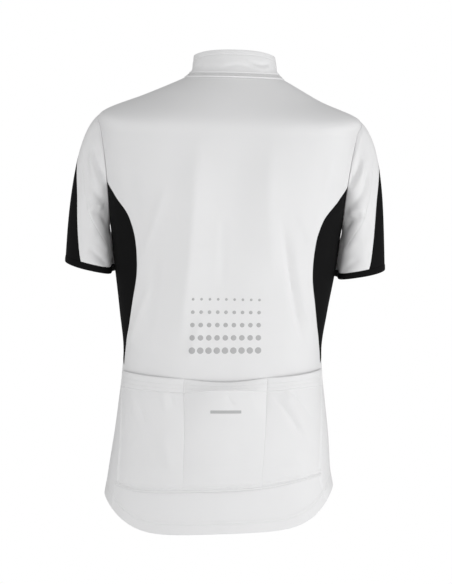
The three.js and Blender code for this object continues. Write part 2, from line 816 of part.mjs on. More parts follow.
function meshOf(solid, name, material) {
  const { vertProperties, triVerts } = solid.getMesh();
  const geometry = new THREE.BufferGeometry();
  geometry.setAttribute('position', new THREE.Float32BufferAttribute(vertProperties, 3));
  geometry.setIndex(Array.from(triVerts));
  geometry.computeVertexNormals();
  const mesh = new THREE.Mesh(geometry, new THREE.MeshStandardMaterial(material));
  mesh.name = name;
  return mesh;
}

function block(width, depth, height, x, y, z) {
  return solidOf(new THREE.BoxGeometry(width, depth, height).translate(x, y, z));
}

const zipShift = hang(smoothCollar(180, 0.9)).x;
const bridgeMiddle = sliderTop - sliderLength / 2;
const pinY = sliderFront + sliderPlate + bridgeReach / 2;
const pinZ = bridgeMiddle + bridgeWindow / 2 - pullBar;

// Slider: a plate before and behind the zip, joined by a core above the tapes' ends, and a
// bridge in front that holds the pull.
function buildSlider() {
  const back = sliderFront - collarWall - 2.2;
  const depth = sliderFront - back;
  const front = block(sliderWidth, sliderPlate, sliderLength, 0, sliderFront + sliderPlate / 2, bridgeMiddle);
  const rear = block(sliderWidth, sliderPlate, sliderLength, 0, back - sliderPlate / 2, bridgeMiddle);
  const core = block(3, depth + sliderPlate, 5, 0, back + depth / 2, sliderTop - 3);
  const bridgeHeight = bridgeWindow + 2 * bridgeWall;
  const bridgeDepth = bridgeReach + bridgeWall;
  const sunk = 0.2;
  const bridgeY = sliderFront + sliderPlate - sunk + (bridgeDepth + sunk) / 2;
  const bridge = block(bridgeWidth, bridgeDepth + sunk, bridgeHeight, 0, bridgeY, bridgeMiddle);
  const windowY = sliderFront + sliderPlate + bridgeReach / 2;
  const window = block(bridgeWidth + 2, bridgeReach, bridgeWindow, 0, windowY, bridgeMiddle);
  const solid = front.add(rear).add(core).add(bridge.subtract(window));
  const mesh = meshOf(solid, 'zip_slider', metal);
  mesh.position.x = zipShift;
  return mesh;
}

// Pull tab: a plate with a window at its head, whose top bar lies inside the slider's bridge.
function buildPull() {
  const outline = new THREE.Shape();
  const half = pullWidth / 2;
  const tipRound = half * 0.8;
  outline.moveTo(-half, pullBar / 2);
  outline.lineTo(-half, -pullLength + tipRound);
  outline.absarc(-half + tipRound, -pullLength + tipRound, tipRound, Math.PI, 1.5 * Math.PI, false);
  outline.absarc(half - tipRound, -pullLength + tipRound, tipRound, 1.5 * Math.PI, 2 * Math.PI, false);
  outline.lineTo(half, pullBar / 2);
  outline.closePath();
  const window = new THREE.Path();
  const inside = half - pullSideBar;
  window.moveTo(-inside, -pullBar / 2);
  window.lineTo(inside, -pullBar / 2);
  window.lineTo(inside, -pullBar / 2 - pullWindow);
  window.lineTo(-inside, -pullBar / 2 - pullWindow);
  window.closePath();
  outline.holes.push(window);
  const options = { depth: pullThick, bevelEnabled: false, curveSegments: 5 };
  const geometry = new THREE.ExtrudeGeometry(outline, options).translate(0, 0, -pullThick / 2);
  const mesh = new THREE.Mesh(geometry, new THREE.MeshStandardMaterial(metal));
  mesh.name = 'zip_pull';
  mesh.rotation.x = Math.PI / 2;
  mesh.position.set(zipShift, pinY, pinZ);
  return mesh;
}

const jersey = new THREE.Group();
jersey.add(buildBack());
jersey.add(buildPocket());
jersey.add(buildNeckPiece('collar', [1, 0.8, 0.6, 0.4, bandRise], 0, halfGap));
jersey.add(buildNeckPiece('collar_band', [bandRise, 0.11, 0], halfGap, neckGap / 2));
for (const side of [-1, 1]) {
  jersey.add(buildFront(side));
  jersey.add(buildInsert(side));
  jersey.add(buildShoulderPiece(side));
  jersey.add(buildOuterPiece(side));
  jersey.add(buildWedge(side));
  jersey.add(buildCuff(side));
  jersey.add(buildTape(side));
}
jersey.add(buildSlider());
jersey.add(buildPull());

export default jersey;
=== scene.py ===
# A short-sleeved cycling jersey in the hollow form in which it is worn, seen from behind.
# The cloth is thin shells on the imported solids' form, with creases, seams and stitches added.
# Sizes are in millimetres, and mm turns them into metres. +X is the wearer's right, -Y the back.
import math

import bpy
import numpy as np
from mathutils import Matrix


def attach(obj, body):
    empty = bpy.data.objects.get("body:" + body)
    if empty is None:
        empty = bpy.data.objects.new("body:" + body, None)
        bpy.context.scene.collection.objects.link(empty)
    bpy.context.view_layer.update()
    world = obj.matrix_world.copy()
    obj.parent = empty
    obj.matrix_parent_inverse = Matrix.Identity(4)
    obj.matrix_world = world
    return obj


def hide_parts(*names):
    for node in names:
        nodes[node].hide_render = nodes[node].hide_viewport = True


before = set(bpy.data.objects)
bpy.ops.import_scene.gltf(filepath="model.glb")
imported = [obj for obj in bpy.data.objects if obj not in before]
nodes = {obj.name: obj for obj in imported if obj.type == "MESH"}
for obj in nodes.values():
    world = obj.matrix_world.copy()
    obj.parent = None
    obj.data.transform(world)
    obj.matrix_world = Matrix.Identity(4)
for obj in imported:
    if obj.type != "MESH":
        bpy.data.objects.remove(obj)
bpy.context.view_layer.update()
mm = 0.001
print("frame loaded:", len(nodes), "solids")


# The garment's form

def makeTable(names, rows):
    # A table with named columns, read by the values of its first column.
    data = np.array(rows, float)
    return {"keys": data[:, 0], "columns": dict(zip(names[1:], data[:, 1:].T))}


def readTable(table, name, at):
    # Cubic pieces through the rows. The slope at a row is the mean of the two slopes beside it,
    # each weighted by the other's length.
    keys, values = table["keys"], table["columns"][name]
    steps = np.diff(keys)
    rates = np.diff(values) / steps
    inner = (rates[:-1] * steps[1:] + rates[1:] * steps[:-1]) / (steps[:-1] + steps[1:])
    slopes = np.concatenate([rates[:1], inner, rates[-1:]])
    at = np.clip(at, keys[0], keys[-1])
    i = np.clip(np.searchsorted(keys, at, side="right") - 1, 0, len(keys) - 2)
    t = (at - keys[i]) / steps[i]
    start = (2 * t - 3) * t * t + 1
    leave = ((t - 2) * t + 1) * t * steps[i] * slopes[i]
    arrive = (t - 1) * t * t * steps[i] * slopes[i + 1]
    return start * values[i] + leave + (1 - start) * values[i + 1] + arrive


def smoothStep(low, high, value):
    t = np.clip((value - low) / (high - low), 0, 1)
    return t * t * (3 - 2 * t)


# rings of the trunk by their height at the side seam below the neck point
trunk = makeTable(
    ["down", "half", "back", "front", "backDown", "frontDown", "square", "turnBack", "turnFront"],
    [
        [0, 86, 62, 86, 3, 74, 2.05, 3.0, 2.2],
        [32, 149.5, 93, 104, 44, 100, 2.3, 4.0, 2.6],
        [65, 222, 115.5, 118, 82, 132, 2.7, 4.5, 3.5],
        [92, 221, 119.5, 124, 107, 154, 2.7, 4.5, 4.0],
        [125, 218, 122, 128, 140, 176, 2.6, 4.5, 4.5],
        [178, 211.5, 124, 130, 184, 208, 2.5, 4.5, 4.5],
        [250, 199, 122, 129, 252, 254, 2.4, 4.5, 4.5],
        [314, 191, 117, 124, 315, 314, 2.3, 4.5, 4.5],
        [400, 178, 109, 116, 402, 400, 2.25, 4.5, 4.5],
        [465, 170, 107, 112, 468, 464, 2.25, 4.5, 4.5],
        [499, 171.5, 108.5, 112, 513, 498, 2.25, 3.0, 4.5],
        [560, 178, 114, 114, 575, 558, 2.25, 4.0, 4.5],
        [630, 186.5, 120, 117, 648, 626, 2.25, 4.5, 4.5],
        [683, 192.5, 124, 119.5, 703, 676, 2.25, 5.0, 4.5],
        [703, 196, 125.5, 120, 766, 694, 2.25, 4.8, 4.5],
    ],
)

# the collar, from its seam at rise 0 to its top edge at rise 1
collar = makeTable(
    ["rise", "half", "back", "front", "sideUp", "backUp", "frontUp"],
    [
        [0, 86, 62, 86, 0, -3, -74],
        [0.22, 75.5, 54, 83, 11, 8, -64],
        [0.6, 72, 50, 82, 25, 26, -44],
        [1, 70, 47, 82, 39.5, 45.5, -24],
    ],
)
collarSize = {"square": 2.05, "turnBack": 3, "turnFront": 2.2, "height": 50, "bandRise": 0.22}

# how the jersey hangs off plumb: sideways shift and side-to-side slope by height
lean = makeTable(
    ["down", "shift", "slope"],
    [
        [-60, 0.5, 0.022],
        [0, 0, 0.026],
        [32, -3.25, 0.04],
        [65, -7, 0.03],
        [120, -9.5, 0.024],
        [180, -11.5, 0.023],
        [250, -14, 0.024],
        [330, -16, 0.026],
        [400, -18.5, 0.008],
        [508, -21, -0.01],
        [600, -22.5, -0.022],
        [700, -26.5, -0.035],
        [770, -22, -0.035],
    ],
)

armhole = {"top": 65, "low": 250, "backDegrees": 17, "frontDegrees": 20, "round": 1.25}
cuff = {
    "centre": (235, 12, -327), "inOut": 40.5, "foreAft": 60, "riseOut": 0.2, "riseFront": 0.12,
    "hugRear": 24, "hugFront": 50, "band": 10,
}

# which way the sleeve leaves the armhole and arrives at the cuff, on four lines round it
sleeveRun = {
    "leave": np.array([[140, 0, -105], [68, -11, -86], [10, 0, -59], [68, 18, -85]], float),
    "arrive": np.array([[10, 6, -200], [14, 2, -120], [1, 0, -60], [14, 6, -120]], float),
}

# seams of the sleeve as parts of the way down it, by degrees from its outer line
sleeveSeams = makeTable(
    ["degrees", "seam", "wedge"],
    [
        [0, 0.08, 0.24],
        [15, 0.16, 0.34],
        [30, 0.26, 0.43],
        [45, 0.355, 0.56],
        [60, 0.435, 0.74],
        [75, 0.5, 0.92],
        [90, 0.525, 0.95],
        [105, 0.545, 0.95],
        [120, 0.575, 0.95],
        [135, 0.61, 0.95],
        [150, 0.67, 0.95],
        [165, 0.75, 0.95],
        [180, 0.81, 0.95],
    ],
)
wedgeCorner = 75
seamEndTurn = 174

# edges of the dark side insert in degrees round the body from the centre back
insert = makeTable(
    ["down", "rear", "fore"],
    [
        [181, 71.5, 110],
        [206, 63.6, 117],
        [233, 53.4, 122],
        [260, 49.3, 126],
        [301, 48.0, 128],
        [341, 50.2, 127],
        [382, 56.8, 121],
        [422, 64.6, 111],
        [450, 72.7, 100],
        [472, 77.4, 90],
        [487, 78.0, 79.2],
    ],
)
insertTip = 487
sideSeam = makeTable(
    ["down", "degrees"],
    [[487, 78.6], [545, 72.7], [634, 64.8], [682, 63], [703, 67.3]],
)


def ringPoint(degrees, half, back, front, sideZ, backZ, frontZ, square, turnBack, turnFront):
    # A rounded ring: sine and cosine, each to the power 2/square, give its place across and in
    # depth, and its height runs from the middle's to the side's by a power of the sine.
    angle = np.radians(degrees)
    sine, cosine = np.sin(angle), np.cos(angle)
    power = 2 / square
    behind = cosine > 0
    middle = np.where(behind, backZ, frontZ)
    turn = np.where(behind, turnBack, turnFront)
    x = half * np.sign(sine) * np.abs(sine) ** power
    y = np.where(behind, -back, front) * np.abs(cosine) ** power
    z = middle + (sideZ - middle) * np.abs(sine) ** turn
    return np.stack(np.broadcast_arrays(x, y, z), axis=-1)


def trunkForm(degrees, down):
    def read(name):
        return readTable(trunk, name, down)
    return ringPoint(
        degrees, read("half"), read("back"), read("front"), -down, -read("backDown"),
        -read("frontDown"), read("square"), read("turnBack"), read("turnFront"),
    )


def collarForm(degrees, rise):
    def read(name):
        return readTable(collar, name, rise)
    return ringPoint(
        degrees, read("half"), read("back"), read("front"), read("sideUp"), read("backUp"),
        read("frontUp"), collarSize["square"], collarSize["turnBack"], collarSize["turnFront"],
    )


def hang(points):
    # Shifts each height sideways and tilts it, as the lean table says.
    shift = readTable(lean, "shift", -points[..., 2])
    slope = readTable(lean, "slope", -points[..., 2])
    x, y, z = points[..., 0], points[..., 1], points[..., 2]
    return np.stack([x + shift, y, z - slope * x], axis=-1)


def unit(vectors):
    return vectors / np.maximum(np.linalg.norm(vectors, axis=-1, keepdims=True), 1e-9)


def normalOf(surface, u, v, steps, side):
    # Outward direction: the cross product of small steps along both parameters.
    alongU = surface(u + steps[0], v) - surface(u - steps[0], v)
    alongV = surface(u, v + steps[1]) - surface(u, v - steps[1])
    return unit(np.cross(alongV, alongU)) * side


# Creases

def pathDistance(points, path):
    # Distance from points to a bent line, the part of the line that is nearest, and for points
    # in a plane the side on which they lie, +1 or -1.
    best = np.full(points.shape[:-1], 1e12)
    at, side = np.zeros_like(best), np.ones_like(best)
    count = len(path) - 1
    for k in range(count):
        run = path[k + 1] - path[k]
        off = points - path[k]
        t = np.clip((off @ run) / (run @ run), 0, 1)
        square = ((off - t[..., None] * run) ** 2).sum(-1)
        nearer = square < best
        best = np.where(nearer, square, best)
        at = np.where(nearer, (k + t) / count, at)
        if len(run) == 2:
            turned = off[..., 0] * run[1] - off[..., 1] * run[0]
            side = np.where(nearer, np.sign(turned), side)
    return np.sqrt(best), at, side


def bentPath(row):
    # Thirteen points on a parabola through the row's three points.
    first, middle, last = (np.array(row[k:k + 2], float) for k in (0, 2, 4))
    t = np.linspace(0, 1, 13)[:, None]
    control = 2 * middle - (first + last) / 2
    return (1 - t) ** 2 * first + 2 * t * (1 - t) * control + t ** 2 * last


def creaseShape(distance, at, width, soft, height):
    # A squared wedge that falls to nothing at its width, rounded at its crest, faint at its ends.
    beyond = np.sqrt(distance ** 2 + soft ** 2) - soft
    fade = smoothStep(0, 0.3, at) * smoothStep(1, 0.7, at)
    return height * fade * (1 - np.clip(beyond / width, 0, 1)) ** 2


# Creases of the trunk by sideways place and height: a first, a middle and a last point, the
# width on the left and on the right, the softness of the crest and the height, troughs under 0.
backCreases = [
    [-52, 92, -55, 262, -74, 486, 48, 34, 4, 3.6],
    [72, 84, 72, 232, 86, 352, 50, 44, 3, 3.6],
    [10, 96, 8, 270, -2, 440, 46, 46, 20, -2.4],
    [-6, 236, -4, 300, -6, 366, 9, 10, 3, -0.8],
    [90, 226, 113, 355, 141, 470, 11, 9, 2, -2.6],
    [108, 236, 129, 356, 156, 458, 9, 22, 3, 2.0],
    [116, 222, 132, 254, 150, 296, 8, 12, 3, 1.2],
    [170, 120, 168, 180, 160, 236, 12, 14, 5, 1.2],
    [-96, 180, -120, 250, -147, 338, 10, 12, 3, 1.1],
    [-118, 340, -140, 400, -162, 462, 10, 13, 3, 1.6],
    [-112, 290, -120, 372, -130, 446, 14, 12, 4, -1.2],
    [-168, 150, -160, 196, -140, 240, 12, 16, 5, -1.0],
    [-30, 400, -44, 440, -58, 486, 12, 14, 5, 1.2],
]
frontCreases = [
    [-70, 210, -58, 320, -46, 430, 32, 28, 5, 3.6],
    [66, 190, 60, 300, 52, 410, 30, 34, 5, 3.4],
    [30, 240, 34, 380, 26, 520, 18, 20, 6, -2.6],
    [-26, 290, -34, 420, -36, 560, 20, 18, 6, -2.4],
    [98, 370, 118, 440, 132, 520, 14, 22, 4, 2.8],
    [-104, 360, -124, 430, -140, 505, 22, 14, 4, 2.8],
    [90, 560, 78, 612, 60, 665, 18, 14, 4, 2.6],
    [-84, 570, -74, 622, -58, 672, 12, 16, 4, -2.4],
    [140, 250, 120, 300, 108, 352, 12, 14, 4, 1.8],
    [-150, 236, -132, 300, -122, 344, 14, 11, 4, -1.8],
    [20, 610, 26, 650, 24, 690, 12, 14, 5, 1.6],
    [112, 170, 96, 196, 70, 214, 12, 12, 4, -1.8],
    [-122, 164, -100, 188, -76, 204, 12, 12, 4, -2.0],
]
pocketCreases = [
    [82, 534, 110, 570, 152, 634, 13, 14, 2, -3.2],
    [101, 530, 119, 563, 148, 614, 9, 10, 2, 2.6],
    [109, 530, 134, 558, 158, 594, 8, 10, 1.5, -2.2],
    [-160, 526, -149, 549, -137, 578, 9, 9, 2, 2.2],
    [-147, 530, -134, 555, -121, 592, 9, 12, 2, -1.8],
    [-98, 528, -95, 546, -91, 566, 6, 8, 1.5, 1.1],
    [-84, 528, -82, 542, -78, 558, 7, 6, 1.5, -1.0],
    [9, 534, 14, 546, 24, 560, 7, 9, 2, -1.2],
    [40, 532, 48, 548, 60, 570, 8, 8, 2, 0.9],
    [-104, 600, -88, 632, -80, 668, 16, 18, 5, 1.2],
    [20, 600, 34, 640, 38, 676, 22, 22, 8, -1.0],
    [120, 640, 136, 660, 148, 676, 12, 12, 4, 1.2],
]


def creaseHeight(x, down, rows):
    points = np.stack(np.broadcast_arrays(x, down), axis=-1)
    total = np.zeros(points.shape[:-1])
    for row in rows:
        distance, at, side = pathDistance(points, bentPath(row))
        left, right, soft, height = row[6:]
        total += creaseShape(distance, at, np.where(side > 0, right, left), soft, height)
    return total


trunkFolds = 1.6


def trunkRelief(points):
    x, y, down = points[..., 0], points[..., 1], -points[..., 2]
    relief = np.zeros(y.shape)
    for rows, chosen in ((backCreases, y < 0), (frontCreases, y >= 0)):
        if chosen.any():
            relief[chosen] = creaseHeight(x[chosen], down[chosen], rows)
    return trunkFolds * relief * smoothStep(0, 40, np.abs(y))


def trunkSurface(degrees, down):
    base = trunkForm(degrees, down)
    outward = normalOf(trunkForm, degrees, down, (0.4, 0.5), 1)
    return hang(base + outward * trunkRelief(base)[..., None])


# creases of the collar by degrees and rise: three points, the width, softness and height
collarCreases = [
    [19, 0.66, 39, 0.5, 62, 0.72, 7, 1.5, -2.0],
    [24, 0.52, 42, 0.36, 58, 0.5, 6, 2, 1.1],
    [-18, 0.25, 4, 0.46, 28, 0.28, 6, 2, -1.0],
    [-80, 0.5, -62, 0.42, -46, 0.5, 7, 3, -0.6],
    [120, 0.62, 136, 0.46, 150, 0.6, 9, 3, -1.2],
    [-150, 0.4, -132, 0.55, -112, 0.44, 9, 3, -1.1],
]


def collarSurface(degrees, rise):
    base = collarForm(degrees, rise)
    outward = normalOf(collarForm, degrees, rise, (0.4, -0.01), 1)
    relief = np.zeros(base.shape[:-1])
    for row in collarCreases:
        flat = bentPath(row)
        distance, at, _ = pathDistance(base, collarForm(flat[:, 0], flat[:, 1]))
        relief += creaseShape(distance, at, *row[6:])
    fade = smoothStep(0.2, 0.3, rise) * smoothStep(1, 0.85, rise)
    return hang(base + outward * (relief * fade)[..., None])


# Sleeve

def armholeAt(turn):
    # Place of the armhole on the trunk. Turn 0 is the shoulder tip, 90 the back, 180 the underarm.
    angle = np.radians(turn)
    middle = (armhole["top"] + armhole["low"]) / 2
    down = middle - (armhole["low"] - armhole["top"]) / 2 * np.cos(angle)
    sine = np.sin(angle)
    depth = np.where(sine > 0, armhole["backDegrees"], armhole["frontDegrees"])
    return 90 - depth * np.sign(sine) * np.abs(sine) ** armhole["round"], down


def runVector(which, turn):
    # The four lines' vectors, blended by squared cosine and sine.
    cosine, sine = np.cos(np.radians(turn)), np.sin(np.radians(turn))
    weights = [np.maximum(w, 0) ** 2 for w in (cosine, sine, -cosine, -sine)]
    return sum(w[..., None] * row for w, row in zip(weights, sleeveRun[which]))


def cuffPoint(turn):
    # An ellipse whose inner corners close in on the body, and which rises outwards and forwards.
    cosine, sine = np.cos(np.radians(turn)), np.sin(np.radians(turn))
    hug = np.maximum(0, -cosine) * sine ** 2 * np.where(sine > 0, cuff["hugRear"], cuff["hugFront"])
    out = cuff["inOut"] * cosine - hug
    front = -cuff["foreAft"] * sine
    x, y, z = cuff["centre"]
    return np.stack([x + out, y + front, z + cuff["riseOut"] * out + cuff["riseFront"] * front], axis=-1)


def sleeveForm(turn, part):
    # A cubic from the armhole, part 0, to the cuff, part 1, on every line round the sleeve.
    turn, part = np.broadcast_arrays(np.asarray(turn, float), np.asarray(part, float))
    t = part[..., None]
    start = trunkForm(*armholeAt(turn))
    return (
        ((2 * t - 3) * t * t + 1) * start
        + ((t - 2) * t + 1) * t * runVector("leave", turn)
        + (3 - 2 * t) * t * t * cuffPoint(turn)
        + (t - 1) * t * t * runVector("arrive", turn)
    )


# Creases of the sleeves by degrees and part: three points, the width, softness and height.
rearSleeveCreases = {
    1: [
        [22, 0.02, 50, 0.045, 84, 0.02, 8, 2, 1.4],
        [54, 0.11, 80, 0.13, 108, -0.03, 10, 2.5, -3.2],
        [50, 0.15, 74, 0.22, 118, 0.04, 10, 2.5, 2.6],
        [48, 0.18, 76, 0.335, 132, 0.08, 10, 2.5, -2.4],
        [70, 0.49, 97, 0.372, 130, 0.16, 13, 2.5, 3.8],
        [76, 0.54, 110, 0.35, 148, 0.26, 14, 3, -3.4],
        [68, 0.54, 77, 0.615, 84, 0.7, 12, 4, -1.3],
        [92, 0.77, 112, 0.82, 136, 0.88, 9, 3, -1.6],
        [100, 0.6, 120, 0.62, 146, 0.56, 12, 4, 1.8],
        [166, 0.2, 172, 0.5, 178, 0.8, 18, 6, 3.4],
    ],
    -1: [
        [22, 0.02, 50, 0.045, 84, 0.02, 8, 2, 1.4],
        [44, 0.12, 76, 0.15, 110, -0.03, 11, 2.5, -3.6],
        [44, 0.16, 74, 0.25, 116, 0.04, 11, 2.5, 2.8],
        [40, 0.17, 74, 0.345, 133, 0.07, 10, 2.5, -2.6],
        [70, 0.5, 95, 0.392, 126, 0.18, 13, 2.5, 3.8],
        [80, 0.53, 114, 0.35, 152, 0.19, 14, 3, -3.2],
        [166, 0.2, 172, 0.5, 178, 0.8, 18, 6, 3.4],
        [70, 0.54, 76, 0.6, 82, 0.68, 12, 4, -1.3],
        [86, 0.75, 108, 0.805, 134, 0.865, 9, 2.5, -2.2],
        [104, 0.6, 122, 0.64, 140, 0.7, 12, 4, 1.6],
    ],
}
frontSleeveCreases = [
    [290, 0.1, 262, 0.17, 232, -0.02, 10, 2.5, -3.0],
    [292, 0.2, 256, 0.32, 224, 0.12, 11, 2, 3.6],
    [284, 0.34, 250, 0.4, 214, 0.3, 12, 2, -3.8],
    [262, 0.5, 238, 0.56, 206, 0.6, 12, 3, 2.6],
    [312, 0.45, 300, 0.62, 290, 0.82, 14, 5, -2.2],
    [270, 0.74, 250, 0.8, 228, 0.84, 10, 3, -1.8],
]


def sleeveRelief(side, turn, part, points):
    # Creases across their distance over the sleeve, fading out at the armhole and the cuff.
    turn = np.mod(turn, 360)
    total = np.zeros(points.shape[:-1])
    for rows, chosen in ((rearSleeveCreases[side], turn < 195), (frontSleeveCreases, turn >= 195)):
        for row in rows if chosen.any() else ():
            flat = bentPath(row)
            distance, at, _ = pathDistance(points[chosen], sleeveForm(flat[:, 0], flat[:, 1]))
            total[chosen] += creaseShape(distance, at, *row[6:])
    return total * smoothStep(0, 0.05, part) * smoothStep(1, 0.9, part)


def sleeveSurface(side):
    # side is +1 for the wearer's right sleeve and -1 for the left one.
    def surface(turn, part):
        base = sleeveForm(turn, part)
        outward = normalOf(sleeveForm, turn, part, (0.5, 0.004), -1)
        relief = sleeveRelief(side, turn + 0 * part, part + 0 * turn, base)
        return hang((base + outward * relief[..., None]) * np.array([side, 1, 1]))
    return surface


def cuffStart(turn):
    return 1 - cuff["band"] / np.linalg.norm(runVector("arrive", turn), axis=-1)


# Grids and meshes

def runLengths(points, axis):
    # Running length along one axis of a grid of points, starting at 0.
    steps = np.linalg.norm(np.diff(points, axis=axis), axis=-1)
    zero = np.zeros_like(np.take(steps, [0], axis=axis))
    return np.concatenate([zero, np.cumsum(steps, axis=axis)], axis=axis)


nearSeam = np.array([0, 0.5, 1.0, 1.6, 2.3, 3.1, 4.1, 5.4, 7.2])


def acrossPlaces(length, count):
    # Places over one width: fine steps beside both edges and even steps between.
    near = nearSeam * min(1, length / (2.4 * nearSeam[-1]))
    middle = near[-1] + (length - 2 * near[-1]) * np.arange(1, count) / count
    return np.concatenate([near, middle, (length - near)[::-1]])


def wallQuads(rows, columns, closed):
    # The four corners, as layer, row and column, of every face of a wall with two layers.
    def quads(corners):
        spread = [np.stack(np.broadcast_arrays(*c), axis=-1) for c in corners]
        return np.stack(spread, axis=-2).reshape(-1, 4, 3)
    last = columns if closed else columns - 1
    i, j = np.meshgrid(np.arange(rows - 1), np.arange(last), indexing="ij")
    k, end = np.arange(last), rows - 1
    found = [
        quads([(0, i, j), (0, i + 1, j), (0, i + 1, j + 1), (0, i, j + 1)]),
        quads([(1, i, j), (1, i, j + 1), (1, i + 1, j + 1), (1, i + 1, j)]),
        quads([(0, 0, k), (0, 0, k + 1), (1, 0, k + 1), (1, 0, k)]),
        quads([(0, end, k), (1, end, k), (1, end, k + 1), (0, end, k + 1)]),
    ]
    if not closed:
        k, end = np.arange(rows - 1), columns - 1
        found.append(quads([(0, k, 0), (1, k, 0), (1, k + 1, 0), (0, k + 1, 0)]))
        found.append(quads([(0, k, end), (0, k + 1, end), (1, k + 1, end), (1, k, end)]))
    return np.concatenate(found)


def newPiece(name, points, faces, uvs, sharp=40):
    # A mesh from points in millimetres, four-cornered faces and one uv pair for each corner.
    mesh = bpy.data.meshes.new(name)
    mesh.vertices.add(len(points))
    mesh.vertices.foreach_set("co", (points * mm).astype(np.float32).ravel())
    mesh.loops.add(faces.size)
    mesh.loops.foreach_set("vertex_index", faces.astype(np.int32).ravel())
    mesh.polygons.add(len(faces))
    mesh.polygons.foreach_set("loop_start", np.arange(0, faces.size, 4, dtype=np.int32))
    mesh.update(calc_edges=True)
    layer = mesh.uv_layers.new(name="cloth")
    layer.uv.foreach_set("vector", uvs.astype(np.float32).ravel())
    mesh.polygons.foreach_set("use_smooth", np.ones(len(faces), bool))
    mesh.set_sharp_from_angle(angle=math.radians(sharp))
    mesh.validate()
    piece = bpy.data.objects.new(name, mesh)
    bpy.context.scene.collection.objects.link(piece)
    return piece


def wallMesh(outer, inner, side, closed):
    # A closed wall between two grids. Its uv is the running length along the rows and columns.
    rows, columns = outer.shape[:2]
    grid = np.concatenate([outer, outer[:, :1]], axis=1) if closed else outer
    across, down = runLengths(grid, 1), runLengths(grid, 0)
    u = across - across[:, -1:] / 2
    v = np.repeat(down[:, [grid.shape[1] // 2]], grid.shape[1], axis=1)
    uvs = np.stack([u, v], axis=-1) * mm
    quads = wallQuads(rows, columns, closed)
    if side < 0:
        quads = quads[:, ::-1]
    layer, i, j = quads[..., 0], quads[..., 1], quads[..., 2]
    faces = layer * rows * columns + i * columns + j % columns
    points = np.concatenate([outer.reshape(-1, 3), inner.reshape(-1, 3)])
    return points, faces, uvs[i, j]


def joinMeshes(meshes):
    starts = np.cumsum([0] + [len(points) for points, faces, uvs in meshes])
    points = np.concatenate([mesh[0] for mesh in meshes])
    faces = np.concatenate([mesh[1] + start for mesh, start in zip(meshes, starts)])
    return points, faces, np.concatenate([mesh[2] for mesh in meshes])


def wallPiece(name, outer, inner, side, closed):
    return newPiece(name, *wallMesh(outer, inner, side, closed))


def clothLayers(surface, u, v, steps, side, lift, wall):
    # Outer and inner points of a cloth that stands lift off a surface.
    points = surface(u, v)
    outward = normalOf(surface, u, v, steps, side)
    lift, wall = np.broadcast_arrays(np.asarray(lift, float)[..., None], np.asarray(wall, float)[..., None])
    outer = points + outward * lift
    return outer, outer - outward * wall, outward


def groove(distance, deep, wide):
    return -deep * np.exp(-((distance / wide) ** 2))


def welt(distance, middle, wide, high):
    return high * np.exp(-(((distance - middle) / wide) ** 2))


def edgeDistances(points, closed=False):
    # Distances over the cloth from its left, right, top and bottom edge.
    across, down = runLengths(points, 1), runLengths(points, 0)
    return across, across[:, -1:] - across, down, down[-1:] - down


# Materials

def newTree(name):
    material = bpy.data.materials.new(name)
    material.use_nodes = True
    tree = material.node_tree
    shader = tree.nodes["Principled BSDF"]
    return material, tree, shader


def addNode(tree, kind, settings=None, **inputs):
    node = tree.nodes.new(kind)
    for key, value in (settings or {}).items():
        setattr(node, key, value)
    for key, value in inputs.items():
        numbered = key[0] == "_" and key[1:].isdigit()
        socket = node.inputs[int(key[1:]) if numbered else key.replace("_", " ")]
        if isinstance(value, bpy.types.NodeSocket):
            tree.links.new(value, socket)
        else:
            socket.default_value = value
    return node


def math2(tree, operation, a, b=0.0, clamp=False):
    settings = {"operation": operation, "use_clamp": clamp}
    return addNode(tree, "ShaderNodeMath", settings, _0=a, _1=b).outputs[0]


def newGroup(name, inputs, outputs):
    group = bpy.data.node_groups.new(name, "ShaderNodeTree")
    for label, kind, value in inputs:
        socket = group.interface.new_socket(name=label, in_out="INPUT", socket_type=kind)
        if value is not None:
            socket.default_value = value
    for label, kind in outputs:
        group.interface.new_socket(name=label, in_out="OUTPUT", socket_type=kind)
    return group, group.nodes.new("NodeGroupInput"), group.nodes.new("NodeGroupOutput")


def makeKnitGroup():
    # Small slanted loops in upright wales, as a height and as painted shade that is darker between loops.
    group, start, end = newGroup(
        "knit loops",
        [
            ("Vector", "NodeSocketVector", None),
            ("Wales", "NodeSocketFloat", 1000),
            ("Courses", "NodeSocketFloat", 1300),
        ],
        [("Height", "NodeSocketFloat"), ("Shade", "NodeSocketFloat")],
    )
    parts = addNode(group, "ShaderNodeSeparateXYZ", Vector=start.outputs["Vector"])
    wale = math2(group, "FRACT", math2(group, "MULTIPLY", parts.outputs["X"], start.outputs["Wales"]))
    off = math2(group, "MULTIPLY", math2(group, "ABSOLUTE", math2(group, "SUBTRACT", wale, 0.5)), 2.0)
    course = math2(group, "MULTIPLY", parts.outputs["Y"], start.outputs["Courses"])
    slanted = math2(group, "ADD", course, math2(group, "MULTIPLY", off, 0.45))
    wave = math2(group, "SINE", math2(group, "MULTIPLY", slanted, 2 * math.pi))
    loop = math2(group, "MULTIPLY_ADD", wave, 0.5)
    loop.node.inputs[2].default_value = 0.5
    crown = math2(group, "SUBTRACT", 1.0, math2(group, "POWER", off, 3.0))
    height = math2(group, "MULTIPLY", loop, crown)
    shade = math2(group, "MULTIPLY_ADD", height, 0.35)
    shade.node.inputs[2].default_value = 0.65
    group.links.new(height, end.inputs["Height"])
    group.links.new(shade, end.inputs["Shade"])
    return group


